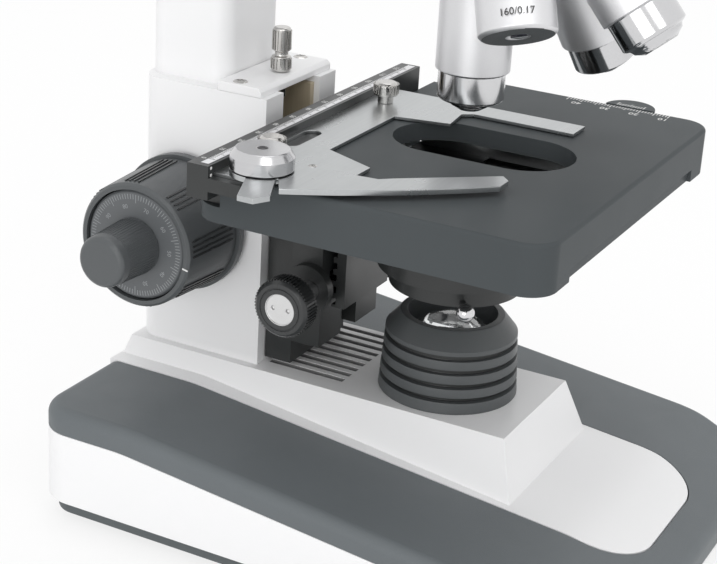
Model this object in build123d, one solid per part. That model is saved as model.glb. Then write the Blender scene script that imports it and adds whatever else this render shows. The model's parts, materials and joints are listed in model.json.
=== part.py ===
from build123d import *
from math import cos, radians, sin, tan
import os

os.makedirs("parts", exist_ok=True)

# Upright microscope with a mechanical stage. Millimetres, +Z up.
# Every function works in a frame whose Z axis is the optical axis and whose
# floor is the table. The front (the stage side) looks to -Y.

# Clearances
seam = 0.3
running_fit = 0.05
slack = 0.5
cut_over = 1.0

# Base
base_width = 150.0
base_length = 197.8
axis_to_back = 107.8
front_corner = 30.0
back_corner = 12.0
foot_height = 3.0
foot_radius = 9.0
foot_inset = 24.0
floor_thickness = 5.0
floor_inset = 3.0
deck_back_height = 40.0
deck_knee = 75.0
deck_nose_inset = 30.0
deck_nose_height = 25.6
deck_front_height = 17.0
deck_bend = 60.0
cover_drop = 8.0
cover_round = 4.0
casting_wall = 4.0
strip_half = 33.5
strip_front_inset = 12.0
strip_corner = 18.0
plinth_top = 46.4
plinth_root = 23.6
plinth_half = 25.0
plinth_front = -31.0
plinth_taper = 18.0
vent_count = 9
vent_pitch = 4.7
vent_width = 2.4
vent_depth = 3.0
vent_length = 27.0
vent_centre = 2.5
vent_gap = 2.0

# Controls in the base walls
control_height = 20.0
control_recess = 2.0
socket_radius = 6.0
socket_flange = 2.0
socket_wall = 2.5
socket_depth = 14.0
socket_pin = 1.0
socket_x = 32.0
switch_width = 20.0
switch_height = 13.0
switch_frame = 2.0
switch_depth = 12.0
switch_x = -32.0
flange_thickness = 1.0
rocker_rise = 0.6
rocker_depth = 7.0
rocker_room = 0.9
rocker_axis = 2.0
rocker_pin = 1.2
rocker_pin_reach = 1.2
dimmer_y = 50.0
dimmer_radius = 8.0
dimmer_reach = 16.0
dimmer_shaft = 3.0
dimmer_collar = 5.0
dimmer_flutes = 18
board_width = 90.0
board_depth = 60.0
board_y = 50.0
board_thickness = 1.6
pillar_height = 4.0
pillar_radius = 2.5

# Lamp on the base
lamp_foot_radius = 22.3
lamp_top_radius = 21.0
lamp_rim_radius = 16.5
lamp_mouth_radius = 14.3
lamp_lip = 2.0
lamp_wall_height = 20.6
lamp_height = 26.0
lamp_groove = 1.2
lamp_groove_width = 1.6
lamp_groove_count = 4
lens_dome = 8.0
lens_edge = 3.0
lens_sink = 1.0
chip_radius = 3.0
chip_height = 1.4
heat_sink = 5.0

# Column with the focus slide
column_half = 22.0
column_front = 58.0
column_height = 89.2
column_back_inset = 2.8
column_back_round = 8.0
cover_plate_thickness = 3.1
cover_plate_overhang = 2.0
channel_half = 11.6
channel_depth = 23.0
guide_thickness = 2.5
guide_inset = 2.0
focus_y = 85.4
focus_rise = 44.7
focus_down = 1.2
focus_up = 9.0
pinion_radius = 6.5
pinion_half = 7.0
pinion_tooth = 1.0
pinion_teeth = 12
rack_tooth = 1.4
rack_gap = 2.0
rack_pitch = 4.0
rack_base = 4.0
rack_half = 5.0
rack_end = 8.0
coarse_tube_radius = 6.0
fine_shaft_radius = 4.0
bush_radius = 9.0
drum_gap = 1.5
drum_radius = 20.0
drum_flange_radius = 22.4
drum_length = 29.0
drum_flange_length = 3.5
drum_draft = 1.2
drum_bevel = 0.8
dial_recess = 2.2
dial_thickness = 4.0
dial_sink = 0.6
fine_dial_radius = 17.6
fine_knob_radius = 8.2
fine_knob_length = 18.0
fine_knob_cap = 6.0

# Stage plate
stage_top = 128.0
stage_thickness = 15.0
stage_wall = 6.0
stage_skirt = 5.0
stage_width = 139.0
stage_depth = 110.0
stage_shift_x = -1.4
stage_shift_y = -1.3
stage_corner = 9.0
stage_edge_round = 1.2
slot_length = 58.0
slot_width = 32.0
slot_y = -5.7
stage_y_back = 2.0
stage_y_front = 18.0
rebate_depth = 4.0
rebate_front = 33.0
strip_inset = 18.0
strip_depth = 1.2
strip_height = 4.0

# Carrier that the knobs raise, with the stage support on it
carrier_half = 18.0
carrier_depth = 9.5
tongue_start = 6.0
bracket_half = 19.7
bracket_front = 37.0
bracket_drop = 20.3
support_thickness = 6.0
support_half = 44.0
support_front = -36.0
support_neck = 24.0
support_step = 11.0
support_wing = 18.0
condenser_hole = 23.5
rail_width = 8.0
rail_height = 6.5
rail_inset = 2.0
guide_width = 5.0
vernier_radius = 8.4
vernier_y = -27.5
vernier_thickness = 3.0
vernier_post = 4.0
vernier_half = 5.0

# Slide bar and slide holder
bar_front = 44.0
bar_depth = 7.0
bar_left = -77.0
bar_length = 133.5
bar_rise = 3.8
bar_root = 9.7
bar_block = 8.0
bar_web = 2.0
plate_thickness = 1.0
plate_gap = 0.3
plate_finger = 10.0
plate_right = 34.5
plate_left = -73.8
plate_reach = -25.0
plate_notch = 28.0
plate_lip = 10.5
window_x = -31.0
window_length = 18.0
window_width = 5.4
screw_left_x = -53.3
screw_right_x = 18.5
screw_y = 37.5
screw_radius = 3.9
screw_head = 4.3
screw_neck = 1.7
screw_collar = 0.8
screw_collar_height = 2.6
screw_tip_gap = 1.0
clip_x = -67.8
clip_y = 32.0
clip_radius = 9.2
clip_pin = 3.0
clip_thickness = 1.6
clip_boss_height = 5.9
clip_boss_wall = 3.7
clip_boss_bevel = 1.5
finger_reach = 60.9
finger_side = 30.0
finger_tip = 6.0
finger_width = 12.0
tab_reach = 23.2
tab_drop = 11.0
tab_width = 5.0

# Coaxial knobs under the stage
knob_x = 34.0
knob_tube_radius = 4.5
knob_shaft_radius = 2.5
knob_pinion_radius = 6.0
knob_pinion_height = 3.7
knob_bearing = 9.5
knob_bearing_gap = 1.0
knob_bearing_wall = 3.5
y_knob_radius = 11.0
x_knob_radius = 8.0
stage_knob_length = 15.0
stage_knob_cap = 5.0
knob_bevel = 1.0

# Condenser under the stage
condenser_rise = 4.0
condenser_length = 29.0
condenser_radius = 19.0
condenser_bore = 12.0
condenser_cone = 9.0
condenser_lens_radius = 10.0
condenser_lens_height = 6.0
holder_radius = 25.0
holder_height = 12.0
holder_neck = 12.0
slider_half = 15.0
slider_front = 31.0
slider_drop = 18.0
slider_height = 33.0
key_half = 5.0
key_depth = 4.5
condenser_knob_drop = 10.7
condenser_knob_y = 39.2
condenser_knob_face = 42.0
condenser_knob_radius = 9.2
condenser_knob_length = 8.0
condenser_shaft_radius = 3.25
condenser_shaft_cap = 3.0
condenser_cap_radius = 4.9
condenser_boss = 3.3
condenser_boss_radius = 8.0
iris_radius = 21.0
iris_bore = 8.0
iris_height = 5.0
iris_reach = 28.5
iris_rod = 1.1
iris_ball = 2.8
iris_angle = 211.0

# Nosepiece and objectives
tip_gap = 10.7
turret_tilt = 20.0
turret_pitch = 18.2
turret_radius = 29.5
turret_rim = 8.7
turret_flat = 8.0
turret_seats = 4
mount_radius = 26.5
mount_thickness = 12.0
objective_seat_radius = 10.1
objective_seat_depth = 4.5
objective_radius = 11.3
objective_length = 44.3
objective_low_length = 36.0
objective_scan_length = 22.0
objective_taper = 4.0
nose_radius = 10.2
nose_length = 8.5
tip_small = 3.6
tip_wide = 5.2
light_bore = 7.0

# Arm and head
arm_half = 17.0
arm_front = 76.0
arm_depth = 30.0
arm_foot = 12.0
arm_drop = 4.0
arm_outer_bend = 50.0
arm_inner_bend = 35.0
arm_edge_round = 6.0
boss_radius = 27.0
collar_radius = 24.0
collar_height = 7.0
spigot_radius = 20.0
head_radius = 21.0
head_rise = 17.0
head_wall = 5.0
head_skirt = 4.0
tube_tilt = 45.0
tube_radius = 14.0
tube_bore = 11.6
tube_socket = 2.5
tube_start = 30.0
tube_length = 55.0
eyepiece_radius = 15.5
eyepiece_height = 18.0
eyepiece_insert = 25.0
eye_lens_radius = 9.0
eye_lens_height = 4.0
clamp_radius = 2.5
clamp_knob_radius = 5.0
clamp_knob_length = 8.0
clamp_gap = 3.0
stop_screw_y = 66.0
stop_screw_radius = 2.8
stop_screw_groove = 0.6
stop_screw_neck = 2.0
stop_screw_height = 14.0
stop_screw_reach = 5.0
stop_nut_height = 4.6

# Levels and faces that follow from the sizes above
axis_y = base_length / 2 - axis_to_back
base_back = axis_to_back
base_front = axis_to_back - base_length
base_side = base_width / 2
deck_nose = base_front + deck_nose_inset
strip_front = base_front + strip_front_inset
casting_bottom = foot_height + floor_thickness
control_face = base_back - control_recess
lens_seat = plinth_top + lamp_height - lens_sink - lens_dome - lens_edge
lamp_room = lamp_mouth_radius - lamp_lip
column_back = base_back - column_back_inset
column_top = plinth_top + column_height
cover_plate_top = column_top + cover_plate_thickness
channel_back = column_front + channel_depth
tongue_half = channel_half - guide_thickness - running_fit
focus_height = plinth_top + focus_rise
rack_face = focus_y - pinion_radius - seam
drum_low = column_half + drum_gap
drum_top = drum_low + drum_length
dial_floor = drum_top - dial_recess - dial_thickness
dial_top = drum_top - dial_sink
carrier_back = column_front - slack
carrier_front = carrier_back - carrier_depth
carrier_bottom = plinth_top + focus_down + slack
stage_bottom = stage_top - stage_thickness
stage_back = stage_shift_y + stage_depth / 2
stage_front = stage_shift_y - stage_depth / 2
stage_right = stage_shift_x + stage_width / 2
stage_left = stage_shift_x - stage_width / 2
support_top = stage_bottom - slack
carrier_top = support_top - support_thickness
ceiling = stage_top - stage_wall
bar_back = bar_front + bar_depth
bar_right = bar_left + bar_length
bar_bottom = stage_top - bar_root
teeth_top = ceiling - seam
ledge = bar_bottom - seam
rebate_level = stage_top - rebate_depth
knob_y = bar_front - seam - knob_pinion_radius
cavity_back = bar_front - seam - bar_web
bearing_low = carrier_top - knob_bearing_gap - knob_bearing
y_knob_low = bearing_low - stage_knob_length
x_knob_low = y_knob_low - seam - stage_knob_length
plate_bottom = stage_top + plate_gap
plate_top = plate_bottom + plate_thickness
lever_low = plate_top + seam
lever_top = lever_low + clip_thickness
condenser_top = stage_bottom + condenser_rise
condenser_low = condenser_top - condenser_length - slack
holder_bottom = condenser_top - condenser_length
holder_top = holder_bottom + holder_height
slider_bottom = holder_bottom - slider_drop
slider_top = slider_bottom + slider_height
slider_back = bracket_front - seam
condenser_knob_height = holder_bottom - condenser_knob_drop
condenser_teeth = condenser_knob_y - condenser_shaft_radius - seam
bracket_bottom = condenser_knob_height - bracket_drop
tip_height = stage_top + tip_gap
shoulder_reach = turret_pitch / sin(radians(turret_tilt))
apex_height = tip_height + objective_length + shoulder_reach
seat_axial = shoulder_reach * cos(radians(turret_tilt))
rim_axial = seat_axial - (turret_radius - turret_pitch) * tan(radians(turret_tilt))
turret_back = rim_axial - turret_rim
mount_axial = turret_back - seam - mount_thickness
arm_top = apex_height - arm_drop
head_low = arm_top + collar_height + seam
head_centre = arm_top + collar_height + head_rise
tube_end = tube_start + tube_length
eyepiece_top = tube_end + eyepiece_height
clamp_level = arm_top + collar_height / 2

turret_plane = Plane(
    origin=(0, 0, apex_height),
    x_dir=(1, 0, 0),
    z_dir=(0, -sin(radians(turret_tilt)), -cos(radians(turret_tilt))),
)
tube_place = Pos(0, 0, head_centre) * Rot(-tube_tilt, 0, 0)
socket_place = Pos(socket_x, control_face, control_height) * Rot(90, 0, 0)
switch_place = Pos(switch_x, control_face, control_height)
dimmer_place = Pos(base_side, dimmer_y, control_height) * Rot(0, 90, 0)


def save(shape, name):
    """Write one piece in the part's own frame."""
    export_step(Pos(0, axis_y, 0) * shape, f"parts/{name}.step")


def block(x, y, z):
    """Box between three pairs of faces."""
    centre = [(low + high) / 2 for low, high in (x, y, z)]
    size = [high - low for low, high in (x, y, z)]
    return Pos(*centre) * Box(*size)


def rod_z(radius, low, high, at=(0, 0)):
    """Upright cylinder between two levels."""
    return Pos(at[0], at[1], (low + high) / 2) * Cylinder(radius, high - low)


def ring_z(outer, inner, low, high):
    """Upright ring between two levels."""
    return rod_z(outer, low, high) - rod_z(inner, low - cut_over, high + cut_over)


def rod_x(radius, low, high, y, z):
    """Cylinder along X between two faces."""
    return Pos((low + high) / 2, y, z) * Rot(0, 90, 0) * Cylinder(radius, high - low)


def turned(points):
    """Solid of revolution about Z from (radius, height) points."""
    return revolve(Plane.XZ * make_face(Polyline(*points, close=True)), Axis.Z)


def pinion(radius, low, high, tooth, count):
    """Toothed wheel along Z."""
    wheel = rod_z(radius, low, high)
    gap_width = 0.45 * 2 * 3.14 * radius / count
    gap = Pos(radius, 0, (low + high) / 2) * Box(2 * tooth, gap_width, high - low)
    return wheel - [Rot(0, 0, 360 * i / count) * gap for i in range(count)]


def rack_steps(low, high):
    """Middles of the gaps of a rack."""
    count = int((high - low) / rack_pitch)
    return [low + (i + 0.5) * rack_pitch for i in range(count)]


# Base

def base_outline(inset):
    """Plan of the base, moved in from its edge."""
    middle = (base_front + base_back) / 2
    plan = Pos(0, middle) * Rectangle(base_width - 2 * inset, base_length - 2 * inset)
    plan = fillet(plan.vertices().sort_by(Axis.Y)[:2], front_corner - inset)
    return fillet(plan.vertices().sort_by(Axis.Y)[-2:], back_corner - inset)


def base_prism(inset, low, high):
    """Upright block with the plan of the base."""
    return Pos(0, 0, low) * extrude(base_outline(inset), high - low)


def under_deck(drop):
    """Space under the sloping deck line, lowered by a drop."""
    margin = back_corner
    fall = (deck_nose_height - deck_front_height) / (deck_nose - base_front)
    line = FilletPolyline(
        (base_back + margin, deck_back_height - drop),
        (deck_knee, deck_back_height - drop),
        (deck_nose, deck_nose_height - drop),
        (base_front - margin, deck_front_height - fall * margin - drop),
        radius=deck_bend,
    )
    close = Polyline(line @ 1, (base_front - margin, -margin), (base_back + margin, -margin), line @ 0)
    return extrude(Plane.YZ * make_face(line + close), base_width, both=True)


def strip_prism(grow):
    """Upright block over the white middle strip of the deck."""
    length = base_back - strip_front + 2 * grow
    plan = Pos(0, (base_back + strip_front) / 2) * Rectangle(2 * (strip_half + grow), length)
    plan = fillet(plan.vertices().sort_by(Axis.Y)[:2], strip_corner + grow)
    return Pos(0, 0, casting_bottom) * extrude(plan, plinth_top)


def plinth():
    """Raised block with drafted sides that carries the lamp and the column."""
    draft = (plinth_top - plinth_root) * tan(radians(plinth_taper))
    low = plinth_front - draft
    high = column_back + draft
    plan = Pos(0, (low + high) / 2, plinth_root) * Rectangle(2 * (plinth_half + draft), high - low)
    raised = extrude(plan, plinth_top - plinth_root, taper=plinth_taper)
    return raised & base_prism(0, plinth_root, plinth_top)


def vent_slots():
    """Row of cooling slots in front of the column."""
    back = column_front - vent_gap
    first = vent_centre - vent_pitch * (vent_count - 1) / 2
    half = vent_width / 2
    slots = []
    for i in range(vent_count):
        x = first + i * vent_pitch
        depth = (plinth_top - vent_depth, plinth_top + cut_over)
        slots.append(block((x - half, x + half), (back - vent_length, back), depth))
    return slots


def switch_block(grow, depth):
    """Block with the outline of the mains switch, going into the back wall."""
    half_w = switch_width / 2 + grow
    half_h = switch_height / 2 + grow
    return switch_place * block((-half_w, half_w), depth, (-half_h, half_h))


def base_casting():
    """White base shell with the strip, the plinth and the cooling slots."""
    whole = base_prism(0, casting_bottom, plinth_top)
    shell = whole & under_deck(cover_drop)
    shell += strip_prism(0) & under_deck(0) & whole
    shell += plinth()
    hollow = base_prism(casting_wall, casting_bottom - cut_over, plinth_top)
    shell -= hollow & under_deck(cover_drop + casting_wall)
    shell -= rod_z(lamp_room, casting_bottom, plinth_top + cut_over)
    shell -= vent_slots()
    outward = control_recess + cut_over
    flange = socket_radius + socket_flange + seam
    shell -= socket_place * rod_z(socket_radius, -outward, casting_wall)
    shell -= socket_place * rod_z(flange, -outward, 0)
    shell -= switch_block(0, (-casting_wall, outward))
    shell -= switch_block(switch_frame + seam, (0, outward))
    return shell - dimmer_place * rod_z(dimmer_shaft + running_fit, -2 * casting_wall, cut_over)


def deck_cover():
    """Grey U-shaped cover round the white strip, with a rounded outer edge."""
    slab = base_prism(0, casting_bottom, plinth_top + deck_back_height) & under_deck(0)
    upward = [f for f in slab.faces() if f.normal_at().Z > 0.5]
    creases = [e for f in upward for e in f.edges()]
    front = base_front + back_corner
    back = base_back - back_corner
    outer = [e for e in creases if abs(e.center().X) > seam or not front < e.center().Y < back]
    slab = fillet(ShapeList(outer), cover_round)
    slab -= under_deck(cover_drop)
    return slab - strip_prism(seam)


def bottom_plate():
    """Dark plate that closes the base from below."""
    return base_prism(floor_inset, foot_height, casting_bottom)


def rubber_feet():
    """Four round feet."""
    half = base_side - foot_inset
    ends = (base_front + foot_inset, base_back - foot_inset)
    spots = [(x, y) for x in (-half, half) for y in ends]
    return Compound([rod_z(foot_radius, 0, foot_height, spot).solid() for spot in spots])


def power_socket():
    """Round low-voltage inlet in the back wall."""
    jack = rod_z(socket_radius + socket_flange, -flange_thickness, 0)
    jack += rod_z(socket_radius - running_fit, 0, socket_depth)
    floor = socket_depth - socket_wall
    jack -= rod_z(socket_radius - socket_wall, -flange_thickness, floor)
    return socket_place * (jack + rod_z(socket_pin, 0, floor))


def switch_bezel():
    """Frame of the mains switch, open at the back of the instrument."""
    frame = switch_block(switch_frame, (0, flange_thickness))
    frame += switch_block(-running_fit, (-switch_depth, 0))
    frame -= switch_block(-switch_frame, (switch_frame - switch_depth, switch_frame))
    half = switch_width / 2 - switch_frame + rocker_pin_reach + seam
    return frame - switch_place * rod_x(rocker_pin + running_fit, -half, half, -rocker_axis, 0)


def switch_rocker():
    """Rocker that tips about X inside its frame."""
    half_w = switch_width / 2 - switch_frame - seam
    reach = switch_height / 2 - switch_frame - rocker_room
    lip = flange_thickness + rocker_rise / 3
    crest = flange_thickness + rocker_rise
    foot = reach / 2
    face = Polyline(
        (-rocker_depth, -foot), (lip, -reach), (crest, 0), (lip, reach), (-rocker_depth, foot),
        close=True,
    )
    rocker = extrude(Plane.YZ * make_face(face), half_w, both=True)
    pin_end = switch_width / 2 - switch_frame + rocker_pin_reach
    return switch_place * (rocker + rod_x(rocker_pin, -pin_end, pin_end, -rocker_axis, 0))


def brightness_knob():
    """Fluted knob on a short shaft through the side wall."""
    inner = -casting_wall - seam
    knob = rod_z(dimmer_radius, slack, dimmer_reach)
    knob = chamfer(knob.edges().sort_by(Axis.Z)[-1:], knob_bevel)
    flute = Pos(dimmer_radius, 0, dimmer_reach) * Cylinder(knob_bevel, dimmer_reach)
    knob -= [Rot(0, 0, 360 * i / dimmer_flutes) * flute for i in range(dimmer_flutes)]
    shaft = rod_z(dimmer_shaft, inner - casting_wall, slack)
    collar = rod_z(dimmer_collar, inner - casting_wall / 2, inner)
    return dimmer_place * (knob + shaft + collar)


def circuit_board():
    """Lamp driver board on four pillars."""
    low = casting_bottom + pillar_height
    half_x = board_width / 2
    half_y = board_depth / 2
    span_y = (board_y - half_y, board_y + half_y)
    board = block((-half_x, half_x), span_y, (low, low + board_thickness))
    edge = 2 * pillar_radius
    rows = (span_y[0] + edge, span_y[1] - edge)
    corners = [(x, y) for x in (edge - half_x, half_x - edge) for y in rows]
    return board + [rod_z(pillar_radius, casting_bottom, low, spot) for spot in corners]


# Lamp

def lamp_housing():
    """Round lamp body with four dark grooves and a bevelled rim."""
    wall_top = plinth_top + lamp_wall_height
    top = plinth_top + lamp_height
    body = turned([
        (lamp_room, plinth_top),
        (lamp_foot_radius, plinth_top),
        (lamp_top_radius, wall_top),
        (lamp_rim_radius, top),
        (lamp_mouth_radius, top),
        (lamp_mouth_radius, lens_seat),
        (lamp_room, lens_seat),
    ])
    step = lamp_wall_height / (lamp_groove_count + 0.5)
    half = lamp_groove_width / 2
    for i in range(1, lamp_groove_count + 1):
        level = plinth_top + i * step
        outer = lamp_foot_radius + cut_over
        body -= ring_z(outer, lamp_top_radius - lamp_groove, level - half, level + half)
    return body


def collector_lens():
    """Plano-convex lens over the lamp."""
    radius = lamp_mouth_radius - running_fit
    crown = lens_seat + lens_edge + lens_dome
    ball_radius = (radius**2 + lens_dome**2) / (2 * lens_dome)
    ball = Pos(0, 0, crown - ball_radius) * Sphere(ball_radius)
    return rod_z(radius, lens_seat, crown) & ball


def lamp_board():
    """Round board with its light-emitting chip, held under the lens."""
    radius = lamp_room - running_fit
    top = plinth_top - chip_height
    low = top - board_thickness
    board = rod_z(radius, low, top) + rod_z(chip_radius, top, plinth_top)
    return board + rod_z(radius - heat_sink, low - heat_sink, low)


# Column, arm and focus drive

def column_body():
    """Lower column with the channel of the focus slide."""
    depth = column_back - column_front
    plan = Pos(0, (column_back + column_front) / 2) * Rectangle(2 * column_half, depth)
    plan = fillet(plan.vertices().sort_by(Axis.Y)[-2:], column_back_round)
    body = Pos(0, 0, plinth_top) * extrude(plan, column_height)
    wide = (-channel_half, channel_half)
    body -= block(wide, (column_front - cut_over, channel_back), (plinth_top, column_top + cut_over))
    room = pinion_radius + drum_gap
    levels = (focus_height - room, focus_height + room)
    body -= block(wide, (channel_back - cut_over, focus_y + room), levels)
    side = column_half + cut_over
    return body - rod_x(bush_radius, -side, side, focus_y, focus_height)


def upper_arm():
    """Curved arm that carries the nosepiece and the head."""
    foot = column_top - arm_foot
    under = arm_top - arm_depth
    corners = [
        (column_back, foot), (column_back, arm_top), (0, arm_top),
        (0, under), (arm_front, under), (arm_front, foot),
    ]
    side = make_face(Polyline(*corners, close=True))
    outer = side.vertices().sort_by_distance((column_back, arm_top))[:1]
    side = fillet(outer, arm_outer_bend)
    inner = side.vertices().sort_by_distance((arm_front, under))[:1]
    side = fillet(inner, arm_inner_bend)
    arm = extrude(Plane.YZ * side, arm_half, both=True)
    cheeks = arm.faces().sort_by(Axis.X)
    edges = cheeks[0].edges() + cheeks[-1].edges()
    return fillet(edges, arm_edge_round)


def arm_casting():
    """Column and arm in one casting, with the head boss at the front."""
    side = arm_half + cut_over
    below_top = (column_top - arm_foot - cut_over, column_top)
    arm = upper_arm() - block((-side, side), (0, channel_back + cut_over), below_top)
    casting = column_body() + arm
    casting += rod_z(boss_radius, arm_top - 2 * arm_depth, arm_top)
    reach = 4 * boss_radius
    below = turret_plane * Pos(0, 0, mount_axial + reach) * Box(2 * reach, 2 * reach, 2 * reach)
    casting -= below & rod_z(boss_radius + cut_over, 0, arm_top)
    return casting - rod_z(light_bore + objective_taper, column_top, arm_top + cut_over)


def focus_cover_plate():
    """Plate that closes the focus channel from above."""
    plate = block(
        (-column_half, column_half),
        (column_front + cover_plate_overhang, arm_front - seam),
        (column_top, cover_plate_top),
    )
    front = plate.edges().filter_by(Axis.X).sort_by(Axis.Z)[-2:].sort_by(Axis.Y)[:1]
    plate = chamfer(front, cover_plate_thickness * 0.4)
    hole = stop_screw_neck + running_fit
    return plate - rod_z(hole, column_top - cut_over, cover_plate_top + cut_over, (0, stop_screw_y))


def guide_strips():
    """Bronze guides on both walls of the channel."""
    depth = (column_front + guide_inset, channel_back - rack_base)
    levels = (plinth_top + guide_inset, column_top - guide_inset)
    walls = []
    for side in (-1, 1):
        x = sorted((side * channel_half, side * (channel_half - guide_thickness)))
        walls.append(block(x, depth, levels).solid())
    return Compound(walls)


def focus_bushes():
    """Bushes of the focus shaft in the column walls."""
    bore = coarse_tube_radius + running_fit
    made = []
    for side in (-1, 1):
        low, high = sorted((side * (channel_half + cut_over), side * column_half))
        bush = rod_x(bush_radius, low, high, focus_y, focus_height)
        bush -= rod_x(bore, low - cut_over, high + cut_over, focus_y, focus_height)
        made.append(bush.solid())
    return Compound(made)


def focus_pair(shape):
    """One piece on each end of the focus shaft, drawn with Z pointing outwards."""
    middle = Pos(0, focus_y, focus_height)
    return Compound([(middle * Rot(0, 90 * side, 0) * shape).solid() for side in (-1, 1)])


def focus_axle(shape):
    """Piece drawn along Z, laid along the focus shaft."""
    return Pos(0, focus_y, focus_height) * Rot(0, 90, 0) * shape


def coarse_tube():
    """Hollow coarse shaft with the pinion on its middle."""
    tube = rod_z(coarse_tube_radius, -dial_floor, dial_floor)
    tube += pinion(pinion_radius, -pinion_half, pinion_half, pinion_tooth, pinion_teeth)
    return focus_axle(tube - rod_z(fine_shaft_radius + running_fit, -drum_top, drum_top))


def coarse_knobs():
    """Pair of coarse drums with a flange and a recessed end."""
    well = fine_dial_radius + seam
    flange_top = drum_low + drum_flange_length
    neck = drum_radius + drum_draft - seam
    drum = turned([
        (coarse_tube_radius, drum_low),
        (drum_flange_radius - drum_bevel, drum_low),
        (drum_flange_radius, drum_low + drum_bevel),
        (drum_flange_radius, flange_top),
        (neck, flange_top),
        (neck, flange_top + drum_bevel),
        (drum_radius + drum_draft, flange_top + drum_bevel),
        (drum_radius, drum_top - drum_bevel),
        (drum_radius - drum_bevel, drum_top),
        (well, drum_top),
        (well, dial_floor),
        (coarse_tube_radius, dial_floor),
    ])
    return focus_pair(drum)


def fine_shaft():
    """Inner shaft that joins both fine knobs."""
    reach = drum_top + fine_knob_length - fine_knob_cap
    return focus_axle(rod_z(fine_shaft_radius, -reach, reach))


def fine_dials():
    """Pair of graduated discs turning with the fine knobs."""
    low = dial_floor + seam
    disc = turned([
        (fine_shaft_radius, low),
        (fine_dial_radius, low),
        (fine_dial_radius, dial_top - drum_bevel),
        (fine_dial_radius - drum_bevel, dial_top),
        (fine_shaft_radius, dial_top),
    ])
    return focus_pair(disc)


def fine_knobs():
    """Pair of small fine focus knobs with rounded rims."""
    top = drum_top + fine_knob_length
    floor = top - fine_knob_cap
    knob = turned([
        (fine_shaft_radius, dial_top),
        (fine_knob_radius + drum_bevel, dial_top),
        (fine_knob_radius, top - 2 * drum_bevel),
        (fine_knob_radius - drum_bevel / 2, top - drum_bevel / 2),
        (fine_knob_radius - 2 * drum_bevel, top),
        (0, top),
        (0, floor),
        (fine_shaft_radius, floor),
    ])
    return focus_pair(knob)


# Carrier and stage support

def focus_carrier():
    """Sliding bracket that the focus drive raises."""
    levels = (carrier_bottom, carrier_top)
    bar = block((-carrier_half, carrier_half), (carrier_front, carrier_back), levels)
    tongue = (carrier_bottom + tongue_start, carrier_top)
    bar += block((-tongue_half, tongue_half), (carrier_back, rack_face - rack_base), tongue)
    high = (bracket_bottom, carrier_top)
    bar += block((-bracket_half, bracket_half), (bracket_front, carrier_front), high)
    side = -bracket_half - condenser_boss
    boss_y = condenser_knob_y + drum_gap
    bar += rod_x(condenser_boss_radius, side, -bracket_half, boss_y, condenser_knob_height)
    front = bracket_front - cut_over
    groove = key_half + running_fit
    full = (bracket_bottom - cut_over, carrier_top + cut_over)
    bar -= block((-groove, groove), (front, bracket_front + key_depth + slack), full)
    room = condenser_shaft_radius + cut_over
    levels = (condenser_knob_height - room, condenser_knob_height + room)
    bar -= block((slack - slider_half, -key_half), (front, condenser_knob_y + room), levels)
    bore = condenser_shaft_radius + running_fit
    return bar - rod_x(bore, side - cut_over, -key_half, condenser_knob_y, condenser_knob_height)


def focus_rack():
    """Rack on the back of the carrier's tongue."""
    low = focus_height - focus_up - rack_end
    high = focus_height + focus_down + rack_end
    rack = block((-rack_half, rack_half), (rack_face - rack_base, rack_face), (low, high))
    wide = (-rack_half - cut_over, rack_half + cut_over)
    half = rack_gap / 2
    for level in rack_steps(low, high):
        rack -= block(wide, (rack_face - rack_tooth, rack_face + cut_over), (level - half, level + half))
    return rack


def stage_support():
    """Plate on the carrier under the stage, open round the condenser."""
    levels = (carrier_top, support_top)
    plate = block((-support_half, support_half), (support_front, support_step), levels)
    plate += block((-support_half, support_neck), (support_step, carrier_back - support_wing), levels)
    plate += block((-support_neck, support_neck), (support_step, carrier_back), levels)
    return plate - rod_z(condenser_hole, carrier_top - cut_over, support_top + cut_over)


def stage_rails():
    """Two straight rails on the support."""
    span = (support_front + rail_inset, support_step - rail_inset)
    pair = []
    for side in (-1, 1):
        x = sorted((side * (support_half - rail_width), side * support_half))
        pair.append(block(x, span, (support_top, support_top + rail_height)).solid())
    return Compound(pair)


def y_rack():
    """Rack on the neck of the support for the stage drive."""
    tips = knob_x - knob_pinion_radius - seam
    low = knob_y - stage_y_front - knob_pinion_radius
    high = knob_y + stage_y_back + knob_pinion_radius
    rack = block((support_neck, tips), (low, high), (carrier_top + slack, support_top - slack))
    half = rack_gap / 2
    for y in rack_steps(low, high):
        rack -= block((tips - rack_tooth, tips + cut_over), (y - half, y + half), (carrier_top, support_top))
    return rack


def vernier_index():
    """Half disc beside the stage edge, carried from the support below."""
    edge = stage_right + slack
    under = stage_top - vernier_thickness
    across = (vernier_y - vernier_half, vernier_y + vernier_half)
    disc = rod_z(vernier_radius, under, stage_top, (edge, vernier_y))
    around = (vernier_y - vernier_radius, vernier_y + vernier_radius)
    disc &= block((edge, edge + vernier_radius), around, (under, stage_top))
    post = block((edge, edge + vernier_post), across, (carrier_top, under))
    foot = block((support_half, edge + vernier_post), across, (carrier_top, carrier_top + vernier_post))
    return disc + post + foot


# Stage

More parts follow.
